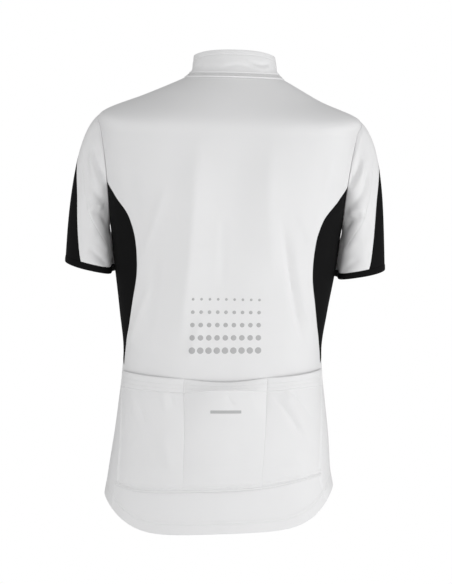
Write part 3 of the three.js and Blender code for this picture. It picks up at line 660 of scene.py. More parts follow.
def makeDriftGroup():
    # Slow changes of tone over the cloth and fine lint, both about 0.5.
    group, start, end = newGroup(
        "cloth drift",
        [
            ("Vector", "NodeSocketVector", None),
            ("Patches", "NodeSocketFloat", 9),
            ("Lint", "NodeSocketFloat", 900),
        ],
        [("Tone", "NodeSocketFloat"), ("Fibre", "NodeSocketFloat")],
    )
    place, patches, lint = (start.outputs[name] for name in ("Vector", "Patches", "Lint"))
    slow = addNode(group, "ShaderNodeTexNoise", Vector=place, Scale=patches, Detail=3.0)
    fine = addNode(group, "ShaderNodeTexNoise", Vector=place, Scale=lint, Detail=2.0)
    group.links.new(slow.outputs["Fac"], end.inputs["Tone"])
    group.links.new(fine.outputs["Fac"], end.inputs["Fibre"])
    return group


knitGroup = makeKnitGroup()
driftGroup = makeDriftGroup()


def addGroup(tree, group, **inputs):
    return addNode(tree, "ShaderNodeGroup", {"node_tree": group}, **inputs)


def mixColours(tree, factor, first, second):
    node = addNode(tree, "ShaderNodeMix", {"data_type": "RGBA"})
    tree.links.new(factor, node.inputs[0])
    node.inputs[6].default_value = (*first, 1)
    node.inputs[7].default_value = (*second, 1)
    return node.outputs[2]


def makeKnit(name, dark, light, rough, sheen, bump, specular=0.35):
    # Knitted cloth: the loops give the bump and a faint painted shade between them, and the drift changes the
    # tone at random.
    material, tree, shader = newTree(name)
    place = addNode(tree, "ShaderNodeTexCoord")
    knit = addGroup(tree, knitGroup, Vector=place.outputs["UV"], Wales=1000.0, Courses=1250.0)
    drift = addGroup(tree, driftGroup, Vector=place.outputs["Object"], Patches=7.0, Lint=700.0)
    # the colour's mix is half random drift and half the loops' painted shade
    tone = math2(tree, "MULTIPLY_ADD", drift.outputs["Tone"], 0.5)
    tree.links.new(math2(tree, "MULTIPLY", knit.outputs["Shade"], 0.5), tone.node.inputs[2])
    tree.links.new(mixColours(tree, tone, dark, light), shader.inputs["Base Color"])
    roughness = math2(tree, "MULTIPLY_ADD", drift.outputs["Fibre"], 0.16)
    roughness.node.inputs[2].default_value = rough - 0.08
    tree.links.new(roughness, shader.inputs["Roughness"])
    relief = addNode(tree, "ShaderNodeBump", Strength=bump, Distance=0.00012, Height=knit.outputs["Height"])
    tree.links.new(relief.outputs["Normal"], shader.inputs["Normal"])
    shader.inputs["Sheen Weight"].default_value = sheen
    shader.inputs["Sheen Roughness"].default_value = 0.45
    shader.inputs["Specular IOR Level"].default_value = specular
    return material


def makeWoven(name, dark, light):
    # Twill tape: two crossing waves make the ribs of the weave, as a bump and as painted shade that darkens
    # the colour in the ribs' troughs.
    material, tree, shader = newTree(name)
    place = addNode(tree, "ShaderNodeTexCoord")
    parts = addNode(tree, "ShaderNodeSeparateXYZ", Vector=place.outputs["UV"])
    across = math2(tree, "MULTIPLY", parts.outputs["X"], 5200.0)
    upward = math2(tree, "MULTIPLY", parts.outputs["Y"], 9000.0)
    slant = math2(tree, "ADD", across, upward)
    cross = math2(tree, "MULTIPLY", parts.outputs["Y"], 5200.0)
    ribs = math2(tree, "MULTIPLY", math2(tree, "SINE", slant), math2(tree, "COSINE", cross))
    ribHeightAndShade = math2(tree, "MULTIPLY_ADD", ribs, 0.5)
    ribHeightAndShade.node.inputs[2].default_value = 0.5
    # painted shade: the low parts of the ribs get the darker colour
    tree.links.new(mixColours(tree, ribHeightAndShade, dark, light), shader.inputs["Base Color"])
    relief = addNode(tree, "ShaderNodeBump", Strength=0.5, Distance=0.0001, Height=ribHeightAndShade)
    tree.links.new(relief.outputs["Normal"], shader.inputs["Normal"])
    shader.inputs["Roughness"].default_value = 0.75
    return material


def makeThread(name, dark, light):
    # Twisted thread: fine lint in the tone and the bump.
    material, tree, shader = newTree(name)
    place = addNode(tree, "ShaderNodeTexCoord")
    drift = addGroup(tree, driftGroup, Vector=place.outputs["Object"], Patches=60.0, Lint=3000.0)
    tree.links.new(mixColours(tree, drift.outputs["Fibre"], dark, light), shader.inputs["Base Color"])
    relief = addNode(tree, "ShaderNodeBump", Strength=0.4, Distance=0.00008, Height=drift.outputs["Fibre"])
    tree.links.new(relief.outputs["Normal"], shader.inputs["Normal"])
    shader.inputs["Roughness"].default_value = 0.6
    return material


def makePrint(name, dark, light):
    # Reflective print: grey film with tiny glass beads that break up its gloss.
    material, tree, shader = newTree(name)
    place = addNode(tree, "ShaderNodeTexCoord")
    drift = addGroup(tree, driftGroup, Vector=place.outputs["Object"], Patches=40.0, Lint=4000.0)
    tree.links.new(mixColours(tree, drift.outputs["Fibre"], dark, light), shader.inputs["Base Color"])
    roughness = math2(tree, "MULTIPLY_ADD", drift.outputs["Fibre"], 0.3)
    roughness.node.inputs[2].default_value = 0.35
    tree.links.new(roughness, shader.inputs["Roughness"])
    relief = addNode(tree, "ShaderNodeBump", Strength=0.25, Distance=0.00005, Height=drift.outputs["Fibre"])
    tree.links.new(relief.outputs["Normal"], shader.inputs["Normal"])
    return material


def makeMetal(name):
    # Satin cast zinc: brushed grain and a slightly worn tone.
    material, tree, shader = newTree(name)
    place = addNode(tree, "ShaderNodeTexCoord")
    stretch = addNode(tree, "ShaderNodeMapping", Vector=place.outputs["Object"])
    stretch.inputs["Scale"].default_value = (1, 1, 0.1)
    drift = addGroup(tree, driftGroup, Vector=stretch.outputs["Vector"], Patches=300.0, Lint=9000.0)
    tone = mixColours(tree, drift.outputs["Tone"], (0.5, 0.51, 0.53), (0.68, 0.69, 0.71))
    tree.links.new(tone, shader.inputs["Base Color"])
    roughness = math2(tree, "MULTIPLY_ADD", drift.outputs["Fibre"], 0.2)
    roughness.node.inputs[2].default_value = 0.25
    tree.links.new(roughness, shader.inputs["Roughness"])
    shader.inputs["Metallic"].default_value = 1
    return material


whiteKnit = makeKnit("white knit", (0.76, 0.76, 0.765), (0.86, 0.86, 0.865), 0.55, 0.08, 0.25)
blackKnit = makeKnit("black knit", (0.004, 0.004, 0.0042), (0.008, 0.008, 0.0083), 0.75, 0.0, 0.3, 0.06)
zipTape = makeWoven("zip tape", (0.7, 0.7, 0.7), (0.84, 0.84, 0.84))
whiteThread = makeThread("white thread", (0.7, 0.7, 0.7), (0.88, 0.88, 0.88))
coilPlastic = makeThread("zip coil", (0.74, 0.74, 0.74), (0.85, 0.85, 0.85))
greyPrint = makePrint("reflective print", (0.42, 0.42, 0.425), (0.52, 0.52, 0.525))
zipMetal = makeMetal("zip metal")
print("materials made")


def dress(piece, material, replaced=(), body="jersey"):
    piece.data.materials.append(material)
    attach(piece, body)
    if replaced:
        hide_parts(*replaced)
    return piece


# Trunk panels

clothWall = 1.0
hem = {"fold": 22.0, "rows": 5.8, "thick": 0.45}
trunkRows = np.concatenate([
    [0, 0.5, 1.0, 1.6, 2.4, 3.4, 5, 7.5, 11],
    np.linspace(15, 180, 42),
    np.linspace(184, 495, 76),
    np.linspace(499, 680, 44),
])
hemTop = 680


def blendedEdge(which, down):
    # Edge of the side insert, joined smoothly to the armhole above it.
    turn = 105 if which == "rear" else 255
    degrees, top = armholeAt(np.array(turn, float))
    step = degrees - readTable(insert, which, top)
    return readTable(insert, which, down) + step * (1 - smoothStep(top, top + 22, down))


def panelEdge(which, down):
    # Edge of the back ("rear") or of a front ("fore") in degrees from the centre back.
    down = np.asarray(down, float)
    reach = (armhole["top"] + armhole["low"]) / 2 - down
    turn = np.degrees(np.arccos(np.clip(reach / ((armhole["low"] - armhole["top"]) / 2), -1, 1)))
    turn = np.minimum(turn, 105)
    hole = armholeAt(turn if which == "rear" else 360 - turn)[0]
    low = armholeAt(np.array(105.0))[1]
    edge = np.where(down <= low, hole, blendedEdge(which, down))
    return np.where(down > insertTip, readTable(sideSeam, "degrees", down), edge)


def zipEdge(down, distance):
    # Degrees at a distance from the centre front, from the ring's own formula turned round.
    ratio = distance / readTable(trunk, "half", down)
    return 180 - np.degrees(np.arcsin(ratio ** (readTable(trunk, "square", down) / 2)))


def hemPlaces(total):
    # Distances from the hem's edge of the rows below the patch, fine at both stitch lines.
    fold = min(hem["fold"], total - 2.5)
    second = fold - hem["rows"]
    above = np.linspace(total, fold + 1.8, 9)[1:]
    lines = np.array([fold + 1.1, fold + 0.5, fold, fold - 0.6, fold - 1.3, fold - 2.6])
    lower = np.array([second + 1.0, second + 0.5, second, second - 0.5, second - 1.1])
    end = np.linspace(second - 1.1, 1.8, 6)[1:]
    return np.concatenate([above, lines, lower, end, [1.0, 0.4, 0]]), fold


def trunkGrid(edgeA, edgeB, count):
    # Degrees and down of a panel's grid between two edges, with rows even along the hem.
    samples = np.linspace(0, 1, 161)
    ratios = []
    for down in np.concatenate([trunkRows, [703.0]]):
        low, high = edgeA(down), edgeB(down)
        run = runLengths(trunkForm(low + (high - low) * samples, down)[None], 1)[0]
        ratios.append(np.interp(acrossPlaces(run[-1], count), run, samples))
    ratios = np.array(ratios)
    down = np.repeat(trunkRows[:, None], ratios.shape[1], axis=1)
    t = np.linspace(0, 1, 41)[:, None]
    pathDown = hemTop + (703 - hemTop) * t + 0 * ratios[-1]
    pathRatio = ratios[-2] * (1 - t) + ratios[-1] * t
    low, high = edgeA(pathDown), edgeB(pathDown)
    run = runLengths(trunkForm(low + (high - low) * pathRatio, pathDown), 0)
    hemDown, hemRatio, folds = [], [], []
    for column in range(ratios.shape[1]):
        total = run[-1, column]
        places, fold = hemPlaces(total)
        at = np.interp(total - places, run[:, column], t[:, 0])
        hemDown.append(hemTop + (703 - hemTop) * at)
        hemRatio.append(ratios[-2, column] * (1 - at) + ratios[-1, column] * at)
        folds.append(fold)
    down = np.concatenate([down, np.array(hemDown).T])
    ratios = np.concatenate([ratios[:-1], np.array(hemRatio).T])
    degrees = edgeA(down) + (edgeB(down) - edgeA(down)) * ratios
    return degrees, down, np.array(folds)


def hemRelief(bottom, fold):
    # The turned hem is thicker up to its edge, with a shallow groove at each row of stitches.
    thick = hem["thick"] * smoothStep(fold + 0.9, fold - 0.2, bottom) * smoothStep(0, 1.2, bottom)
    return thick + groove(bottom - fold + 0.9, 0.5, 1.0) + groove(bottom - fold + hem["rows"], 0.5, 1.0)


def trunkPanel(name, edgeA, edgeB, count, seamHigh):
    degrees, down, fold = trunkGrid(edgeA, edgeB, count)
    left, right, top, bottom = edgeDistances(trunkSurface(degrees, down))
    lift = hemRelief(bottom, fold)
    lift += groove(top, 0.7, 1.2) + welt(top, 2.4, 1.2, 0.2)
    for distance, high in ((left, seamHigh[0]), (right, seamHigh[1])):
        side = np.where(down > insertTip, high, 0.15)
        lift += groove(distance, 0.7, 1.0) + welt(distance, 2.2, 1.3, 1) * side
    outer, inner, outward = clothLayers(trunkSurface, degrees, down, (0.4, 0.5), 1, lift, clothWall)
    piece = wallPiece(name, outer, inner, 1, False)
    return piece, outer, outward, bottom, fold


def panelCut(outer):
    # Greatest width and length of a grid and its area, in metres and square metres.
    width = runLengths(outer, 1)[:, -1].max() * mm
    length = runLengths(outer, 0)[-1].max() * mm
    a, b = outer[1:, 1:] - outer[:-1, :-1], outer[1:, :-1] - outer[:-1, 1:]
    area = np.linalg.norm(np.cross(a, b), axis=-1).sum() / 2 * mm * mm
    return round(width, 3), round(length, 3), round(area, 4)


def declareCut(piece, outer, widest=None):
    # widest gives the cut's width where its rows run slanted over it.
    width, length, area = panelCut(outer)
    if widest:
        width = widest
    length = round(max(length, area / width * 1.02), 3)
    print("cut", piece.name, width, length, area)


back, backOuter, backOut, backBottom, backFold = trunkPanel(
    "back_cloth", lambda d: -panelEdge("rear", d), lambda d: panelEdge("rear", d), 76, (0.8, 0.8))
dress(back, whiteKnit, ["back_panel"])
declareCut(back, backOuter)

zipSize = {"tapeHalf": 5.0, "sunk": 0.3, "wall": 0.9, "tooth": 1.5}
fronts = {}
for side, word in ((1, "right"), (-1, "left")):
    if side > 0:
        edges = (lambda d: panelEdge("fore", d), lambda d: zipEdge(d, zipSize["tapeHalf"]))
        high = (0.0, 0.3)
    else:
        edges = (lambda d: -zipEdge(d, zipSize["tapeHalf"]), lambda d: -panelEdge("fore", d))
        high = (0.3, 0.0)
    found = trunkPanel("front_cloth_" + word, edges[0], edges[1], 40, high)
    fronts[side] = found
    dress(found[0], whiteKnit, ["front_" + word])
    declareCut(found[0], found[1])
print("back and fronts made")


# Side inserts

def insertPiece(side, word):
    # The insert hangs from the underarm, its rows running down to a tip above the pockets.
    turns = np.linspace(105, 255, 60)
    gone = np.linspace(0, 1, 90)[:, None]
    hole, holeDown = armholeAt(turns)
    low = armholeAt(np.array(105.0))[1]
    down = holeDown + (insertTip - holeDown) * gone
    rearTop = blendedEdge("rear", np.maximum(holeDown, low))
    foreTop = blendedEdge("fore", np.maximum(holeDown, low))
    plain = np.linspace(0, 1, len(turns))
    onTop = (hole - rearTop) / (foreTop - rearTop)
    part = onTop + (plain - onTop) * gone
    rear, fore = blendedEdge("rear", down), blendedEdge("fore", down)
    degrees = side * (rear + (fore - rear) * part)
    if side < 0:
        degrees, down = degrees[:, ::-1], down[:, ::-1]
    left, right, top, bottom = edgeDistances(trunkSurface(degrees, down))
    lift = groove(left, 0.6, 1.0) + groove(right, 0.6, 1.0) + groove(top, 0.6, 1.0)
    outer, inner, outward = clothLayers(trunkSurface, degrees, down, (0.4, 0.5), 1, lift, clothWall)
    piece = wallPiece("insert_cloth_" + word, outer, inner, 1, False)
    dress(piece, blackKnit, ["side_insert_" + word])
    declareCut(piece, outer)


# Sleeves

def sleeveGrid(turns, top, bottom, count):
    # Turn and part of a sleeve piece's grid, with fine rows beside its top and bottom seam.
    samples = np.linspace(0, 1, 61)
    low, high = top(turns), bottom(turns)
    parts = low + (high - low) * samples[:, None]
    run = runLengths(sleeveForm(turns + 0 * parts, parts), 0)
    found = []
    for column in range(len(turns)):
        at = np.interp(acrossPlaces(run[-1, column], count), run[:, column], samples)
        found.append(low[column] + (high[column] - low[column]) * at)
    part = np.array(found).T
    return turns + 0 * part, part


def offOuterLine(turn):
    turn = np.mod(turn, 360)
    return np.minimum(turn, 360 - turn)


def seamAt(turn):
    return readTable(sleeveSeams, "seam", offOuterLine(turn))


def shoulderEnd(turn):
    # The shoulder piece ends at the seam, and at the cuff in a narrow strip below the underarm.
    run = smoothStep(seamEndTurn - 0.01, seamEndTurn + 1, offOuterLine(turn))
    return seamAt(turn) + (cuffStart(turn) - seamAt(turn)) * run


def sleevePiece(name, side, turns, top, bottom, count, closed, edges, material, node, widest=None):
    turn, part = sleeveGrid(turns, top, bottom, count)
    surface = sleeveSurface(side)
    points = surface(turn, part)
    left, right, above, below = edgeDistances(points)
    lift = groove(above, edges[0], 1.0) + groove(below, edges[1], 1.0)
    if not closed:
        lift += groove(left, 0.5, 1.0) + groove(right, 0.5, 1.0)
    outer, inner, outward = clothLayers(surface, turn, part, (0.5, 0.004), -side, lift, clothWall)
    piece = wallPiece(name, outer, inner, -side, closed)
    dress(piece, material, [node])
    declareCut(piece, outer, widest=widest)
    return outer, outward


def sleevePieces(side, word):
    round_ = np.concatenate([np.arange(0, 173, 3), [173, 174, 175, 177.5]])
    turns = np.concatenate([round_, [180], (360 - round_[1:])[::-1]])
    sleevePiece("shoulder_cloth_" + word, side, turns, lambda t: 0 * t, shoulderEnd, 22, True,
                (0.7, 0.5), whiteKnit, "sleeve_shoulder_" + word)
    arch = np.concatenate([np.arange(-174, 175, 3)]).astype(float)

    def archEnd(turn):
        off = offOuterLine(turn)
        wedge = readTable(sleeveSeams, "wedge", off)
        return np.where(off >= wedgeCorner, cuffStart(turn), np.minimum(wedge, cuffStart(turn)))
    sleevePiece("arch_cloth_" + word, side, arch, seamAt, archEnd, 24, False,
                (0.5, 0.5), whiteKnit, "sleeve_outer_" + word, 0.36)
    fan = np.linspace(-wedgeCorner, wedgeCorner, 51)
    sleevePiece("wedge_cloth_" + word, side, fan,
                lambda t: np.minimum(readTable(sleeveSeams, "wedge", np.abs(t)), cuffStart(t) - 0.004),
                cuffStart, 24, False, (0.5, 0.5), blackKnit, "sleeve_wedge_" + word, 0.15)


def cuffPiece(side, word):
    # A binding folded round the sleeve's edge: its wall swells between its two rounded rims.
    turns = np.arange(0, 360, 3.0)
    q = np.concatenate([[0, 0.02, 0.06, 0.12, 0.2], np.linspace(0.3, 0.8, 6), [0.88, 0.94, 0.98, 1]])[:, None]
    part = cuffStart(turns) + (1 - cuffStart(turns)) * q
    turn = turns + 0 * part
    swell = np.maximum(1 - np.abs(2 * q - 1) ** 5, 0) ** 0.5
    thick = 0.5 + 1.9 * swell + 0 * part
    lift = (thick - clothWall) / 2 + groove((q - 0.17) * cuff["band"], 0.25, 0.6)
    surface = sleeveSurface(side)
    outer, inner, outward = clothLayers(surface, turn, part, (0.5, 0.004), -side, lift, thick)
    piece = wallPiece("cuff_binding_" + word, outer, inner, -side, True)
    dress(piece, blackKnit, ["cuff_" + word])
    declareCut(piece, outer)


for side, word in ((1, "right"), (-1, "left")):
    insertPiece(side, word)
    sleevePieces(side, word)
    cuffPiece(side, word)
print("inserts and sleeves made")


# Collar

def neckPiece(name, riseRows, thick, reliefOf, node):
    ratio = zipSize["tapeHalf"] / readTable(collar, "half", riseRows)
    edge = 180 - np.degrees(np.arcsin(ratio ** (collarSize["square"] / 2)))
    samples = np.linspace(-1, 1, 161)
    degrees = edge[:, None] * samples
    rise = riseRows[:, None] + 0 * degrees
    left, right, above, below = edgeDistances(collarSurface(degrees, rise))
    lift, wall = reliefOf(left, right, above, below, degrees, rise)
    outer, inner, outward = clothLayers(collarSurface, degrees, rise, (0.4, -0.01), 1, lift, wall)
    piece = wallPiece(name, outer, inner, 1, False)
    dress(piece, whiteKnit, [node])
    declareCut(piece, outer)
    return outer, outward, above, below


collarStitch = 8.4


def collarRelief(left, right, above, below, degrees, rise):
    # Two layers folded over at the top, a groove at the edge stitch and one at the foot.
    rounded = np.sqrt(np.clip(above / 1.6, 0, 1) * (2 - np.clip(above / 1.6, 0, 1)))
    wall = 0.5 + 1.3 * rounded
    lift = 0.5 * (rounded - 1) * 1.3 + groove(above - collarStitch, 0.5, 0.9) + groove(below, 0.5, 1.0)
    return lift, wall


def bandRelief(left, right, above, below, degrees, rise):
    # A narrow band with a raised cord of seam allowance along both of its edges.
    lift = welt(above, 1.5, 1.1, 1.2) + welt(below, 1.8, 1.2, 1.2)
    lift = lift + groove(above, 0.5, 0.6) + groove(below, 0.6, 0.8)
    return lift, 1.5 + 0 * lift


bandTop = collarSize["bandRise"]
collarRows = np.concatenate([
    [1, 0.995, 0.985, 0.97, 0.95], np.linspace(0.92, 0.86, 3), np.linspace(0.845, 0.77, 9),
    np.linspace(0.74, 0.3, 16), [0.28, 0.262, 0.246, 0.235, 0.227, bandTop]])
collarOuter, collarOut, collarAbove, _ = neckPiece(
    "collar_cloth", collarRows, 1.8, collarRelief, "collar")
bandRows = bandTop * (1 - np.linspace(0, 1, 26))
bandOuter, bandOut, bandAbove, bandBelow = neckPiece(
    "collar_band_cloth", bandRows, 1.5, bandRelief, "collar_band")
print("collar made")


# Rear pocket

pocket = {
    "top": 496.5, "bottom": 680.0, "bandFoot": 517.0, "margin": 1.2, "band": 25.0,
    "splits": (0.0, 0.341, 0.692, 1.0), "gapes": (5.0, 14.0, 6.0),
    "tilts": (0.15, 0.72, 0.1), "sags": (-1.0, 4.5, 0.5),
    "lifts": (0.0, 3.5, 0.0), "slack": 1.4, "welts": (1.8, 8.0),
}


def pocketSurface(degrees, down):
    # The back without its own creases, with the patch's.
    base = trunkForm(degrees, down)
    outward = normalOf(trunkForm, degrees, down, (0.4, 0.5), 1)
    x, depth = base[..., 0], -base[..., 2]
    relief = creaseHeight(x, depth, pocketCreases) * smoothStep(-60, -90, base[..., 1])
    own = trunkRelief(base) * smoothStep(520, 500, depth)
    return hang(base + outward * (relief + own)[..., None])


def pocketPiece():
    # One patch over the back, touching it at its sides, foot and two upright seams. Its three
    # mouths stand open by a sine arch, and the band at the top leans out from its foot.
    splits = pocket["splits"]
    ratio = np.linspace(0, 1, 133)
    for split in splits[1:-1]:
        near = split + np.array([-3.2, -2.2, -1.4, -0.7, 0, 0.7, 1.4, 2.2, 3.2]) / 370
        ratio = np.concatenate([ratio[(ratio < near[0] - 0.002) | (ratio > near[-1] + 0.002)], near])
    ratio = np.sort(np.concatenate([ratio, [0.002, 0.004, 0.0055, 0.9945, 0.996, 0.998]]))
    box = np.clip(np.searchsorted(splits, ratio, side="right") - 1, 0, 2)
    starts, ends = np.array(splits)[box], np.array(splits)[box + 1]
    arch = np.sin(np.pi * np.clip((ratio - starts) / (ends - starts), 0, 1))
    sag = np.array(pocket["sags"])[box] * arch ** 1.2
    raised = np.array(pocket["lifts"])[box] * arch ** 0.9
    gape = np.array(pocket["gapes"])[box] * arch ** 0.8
    outer = 5 * smoothStep(0.22, 0, ratio) + 8 * smoothStep(0.82, 1, ratio)
    bandTop, bandFoot = pocket["top"] + sag, pocket["bandFoot"] - raised + outer
    foot = pocket["bottom"] - 1.5 * smoothStep(0.15, 0, ratio) - 5 * smoothStep(0.6, 1, ratio)
    q = np.concatenate([[0, 0.02, 0.05, 0.09], np.linspace(0.14, 0.9, 18), [0.94, 0.965, 0.985, 1]])[:, None]
    bandDown = bandTop + (bandFoot - bandTop) * q
    w = np.concatenate([[0.003, 0.006, 0.01, 0.016], np.linspace(0.026, 0.93, 48),
                        [0.94, 0.948, 0.955, 0.962, 0.969, 0.976, 0.982, 0.988, 0.993, 0.997, 1]])[:, None]
    bodyDown = bandFoot + (foot - bandFoot) * w
    down = np.concatenate([bandDown, bodyDown])
    inBand = np.concatenate([q + 0 * bandDown < 2, w + 0 * bodyDown > 2])
    band = np.concatenate([q + 0 * bandDown, 1 + 0 * bodyDown])
    fall = np.concatenate([0 * bandDown, w + 0 * bodyDown])
    edge = panelEdge("rear", down)
    shrink = 1 - pocket["margin"] / readTable(trunk, "half", down)
    degrees = edge * (2 * backRatio(ratio, down) - 1) * shrink
    tilt = np.array(pocket["tilts"])[box]
    sinking = 1 - smoothStep(-0.15, 0.6, fall) + smoothStep(-0.15, 0.6, 0)
    stand = np.where(inBand, 1 - tilt * (1 - band), sinking)
    loose = smoothStep(0, 0.1, fall) * smoothStep(1, 0.8, fall)
    slack = pocket["slack"] * arch ** 0.6 * np.where(inBand, 0.3, loose)
    lift = 0.25 + clothWall + gape * stand + slack
    lift += np.where(inBand, 0.9 * smoothStep(0, 0.05, band) * smoothStep(1.0, 0.975, band), 0)
    for place in (0.4, 0.7):
        lift += np.where(inBand, groove((band - place) * pocket["band"], 0.45, 0.9), 0)
    lift += np.where(inBand, 0, groove(fall * 165, 0.8, 1.5))
    left, right, above, below = edgeDistances(pocketSurface(degrees, down))
    lift += welt(below, pocket["welts"][0], 1.7, 1.6) + welt(below, pocket["welts"][1], 1.7, 0.9)
    lift += groove(below - 4.9, 0.5, 1.3)
    for split in splits[1:-1]:
        off = np.abs(ratio - split) * 370
        lift += groove(off, np.where(inBand, 0.6, 0.2), 0.8)
    lift += welt(left, 2.2, 1.3, 1.3) + welt(right, 2.2, 1.3, 1.3)
    lift += groove(left, 0.8, 0.9) + groove(right, 0.8, 0.9)
    wall = clothWall + np.where(inBand, 0.5, 0)
    outer, inner, outward = clothLayers(pocketSurface, degrees, down, (0.4, 0.5), 1, lift, wall)
    piece = wallPiece("pocket_cloth", outer, inner, 1, False)
    dress(piece, whiteKnit, ["rear_pocket"])
    declareCut(piece, outer)
    return outer, outward, ratio, np.where(inBand, band, 2), below


def backRatio(ratio, down):
    # The same share of the way round the back by length instead of by degrees.
    samples = np.linspace(-1, 1, 121)
    found = []
    for row in range(down.shape[0]):
        middle = down[row].mean()
        edge = panelEdge("rear", middle)
        run = runLengths(trunkForm(edge * samples, middle)[None], 1)[0]
        found.append(np.interp(ratio * run[-1], run, (samples + 1) / 2))
    return np.array(found)


pocketOuter, pocketOut, pocketRatio, pocketBand, pocketBelow = pocketPiece()
print("pocket made")


# Zip

def zipFront(x, along):
    # The centre front at a sideways distance: down the trunk where along is over 0, up the
    # collar where it is under 0.
    along, x = np.broadcast_arrays(np.asarray(along, float), np.asarray(x, float))
    body = trunkForm(180.0 + 0 * along, np.maximum(along, 0))
    neck = collarForm(180.0 + 0 * along, np.clip(-along / collarSize["height"], 0, 1))
    points = np.where((along >= 0)[..., None], body, neck)
    points = np.concatenate([x[..., None], points[..., 1:]], axis=-1)
    return hang(points)


def zipHalf(side):
    # Outer and inner points of one half of the tape, from the slider down to the hem.
    along = np.linspace(-0.76 * collarSize["height"], 703, 240)[:, None]
    # +X lies to the left when one looks from the front, so columns run towards -X
    x = np.linspace(zipSize["tapeHalf"], 0.05, 7)[None, :]
    if side < 0:
        x = -x[:, ::-1]
    x, along = x + 0 * along, along + 0 * x
    outer, inner, outward = clothLayers(zipFront, x, along, (-0.5, 1), 1, -zipSize["sunk"], zipSize["wall"])
    return outer, inner


def zipTapes():
    # Both halves in one piece, with a hair's breadth between them.
    halves = [zipHalf(side) for side in (1, -1)]
    meshes = [wallMesh(outer, inner, 1, False) for outer, inner in halves]
    points, faces, uvs = joinMeshes(meshes)
    piece = newPiece("zip_tapes", points, faces, uvs)
    dress(piece, zipTape, ["zip_tape_right", "zip_tape_left"])
    declareCut(piece, np.concatenate([halves[0][0], halves[1][0]], axis=1), widest=0.0101)


zipTapes()


# Stitches and teeth

def capsulePiece(name, starts, ends, outs, radius, arch, stations=4, sides=4):
    # Small closed capsules from starts to ends, arched outwards by a half sine. Every one has a
    # ring of points at each station, and its two ends are closed by the last rings.
    t = np.linspace(0, 1, stations)
    bow = np.sin(np.pi * t)
    swell = 0.45 + 0.55 * bow ** 0.5
    run = unit(ends - starts)
    outs = unit(outs - run * (outs * run).sum(-1, keepdims=True))
    aside = np.cross(run, outs)
    middle = starts[:, None] + (ends - starts)[:, None] * t[None, :, None]
    middle = middle + outs[:, None] * (arch * bow)[None, :, None]
    angle = np.linspace(0, 2 * np.pi, sides, endpoint=False) + np.pi / sides
    ring = np.cos(angle)[None, None, :, None] * aside[:, None, None]
    ring = ring + np.sin(angle)[None, None, :, None] * outs[:, None, None]
    points = middle[:, :, None] + ring * (radius * swell)[None, :, None, None]
    count = len(starts)
    base = (np.arange(count) * stations * sides)[:, None, None]
    i, k = np.meshgrid(np.arange(stations - 1), np.arange(sides), indexing="ij")
    nextK = (k + 1) % sides
    tube = np.stack([i * sides + k, i * sides + nextK, (i + 1) * sides + nextK, (i + 1) * sides + k], axis=-1)
    faces = (base + tube.reshape(1, -1, 4)).reshape(-1, 4)
    caps = np.array([[3, 2, 1, 0], np.arange(4) + (stations - 1) * sides])
    faces = np.concatenate([faces, (base + caps[None]).reshape(-1, 4)])
    uvs = np.zeros((len(faces), 4, 2))
    return newPiece(name, points.reshape(-1, 3), faces, uvs, 80)


def alongLine(points, outs, length, gap):
    # Starts, ends and outward directions of stitches of one length spaced along a line.
    run = runLengths(points[None], 1)[0]
    at = np.arange(gap, run[-1] - length, length + gap)

    def pick(values, places):
        return np.stack([np.interp(places, run, values[:, axis]) for axis in range(3)], axis=-1)
    return pick(points, at), pick(points, at + length), pick(outs, at + length / 2)


def zigzag(first, second, outs, pitch):
    # Stitches that go to and fro between two lines.
    run = runLengths(first[None], 1)[0]
    count = int(run[-1] / pitch)
    at = np.linspace(0, run[-1], count)

    def pick(values, places):
        return np.stack([np.interp(places, run, values[:, axis]) for axis in range(3)], axis=-1)
    upper, lower = pick(first, at), pick(second, at)
    even = (np.arange(count) % 2 == 0)[:, None]
    path = np.where(even, upper, lower)
    return path[:-1], path[1:], pick(outs, at)[:-1]


def lineAt(outer, outward, distance, place, lift=0.1):
    # The line over a grid on which a distance, given for every point, has one value.
    rows = np.abs(distance - place).argmin(axis=0)
    columns = np.arange(outer.shape[1])
    return outer[rows, columns] + outward[rows, columns] * lift, outward[rows, columns]


def stitchPiece(name, lines, material, radius=0.22, arch=0.12):
    starts, ends, outs = (np.concatenate([line[k] for line in lines]) for k in range(3))
    piece = capsulePiece(name, starts, ends, outs, radius, arch)
    dress(piece, material)
    print("stitches", name, len(starts))


hemLines = []
for outer, outward, bottom, fold in (
    (backOuter, backOut, backBottom, backFold),
    (fronts[1][1], fronts[1][2], fronts[1][3], fronts[1][4]),
    (fronts[-1][1], fronts[-1][2], fronts[-1][3], fronts[-1][4]),
):
    for place in (0.9, hem["rows"]):
        points, outs = lineAt(outer, outward, bottom - fold, -place)
        hemLines.append(alongLine(points, outs, 2.4, 0.7))
stitchPiece("hem_stitches", hemLines, whiteThread)

pocketLines = []
for place in (0.4, 0.7):
    points, outs = lineAt(pocketOuter, pocketOut, pocketBand, place)
    pocketLines.append(alongLine(points, outs, 2.4, 0.7))
for place in (4.2, 5.6):
    points, outs = lineAt(pocketOuter, pocketOut, pocketBelow, place)
    pocketLines.append(alongLine(points, outs, 2.4, 0.7))
for split in pocket["splits"][1:-1]:
    column = np.abs(pocketRatio - split).argmin()
    pocketLines.append(alongLine(pocketOuter[:, column], pocketOut[:, column], 2.2, 0.7))
stitchPiece("pocket_stitches", pocketLines, whiteThread)

collarLines = []
points, outs = lineAt(collarOuter, collarOut, collarAbove, collarStitch)
collarLines.append(alongLine(points, outs, 2.2, 0.7))
upper, outs = lineAt(bandOuter, bandOut, bandAbove, 3.6)
lower, _ = lineAt(bandOuter, bandOut, bandBelow, 3.4)
collarLines.append(zigzag(upper, lower, outs, 1.5))
stitchPiece("collar_stitches", collarLines, whiteThread, 0.2, 0.1)


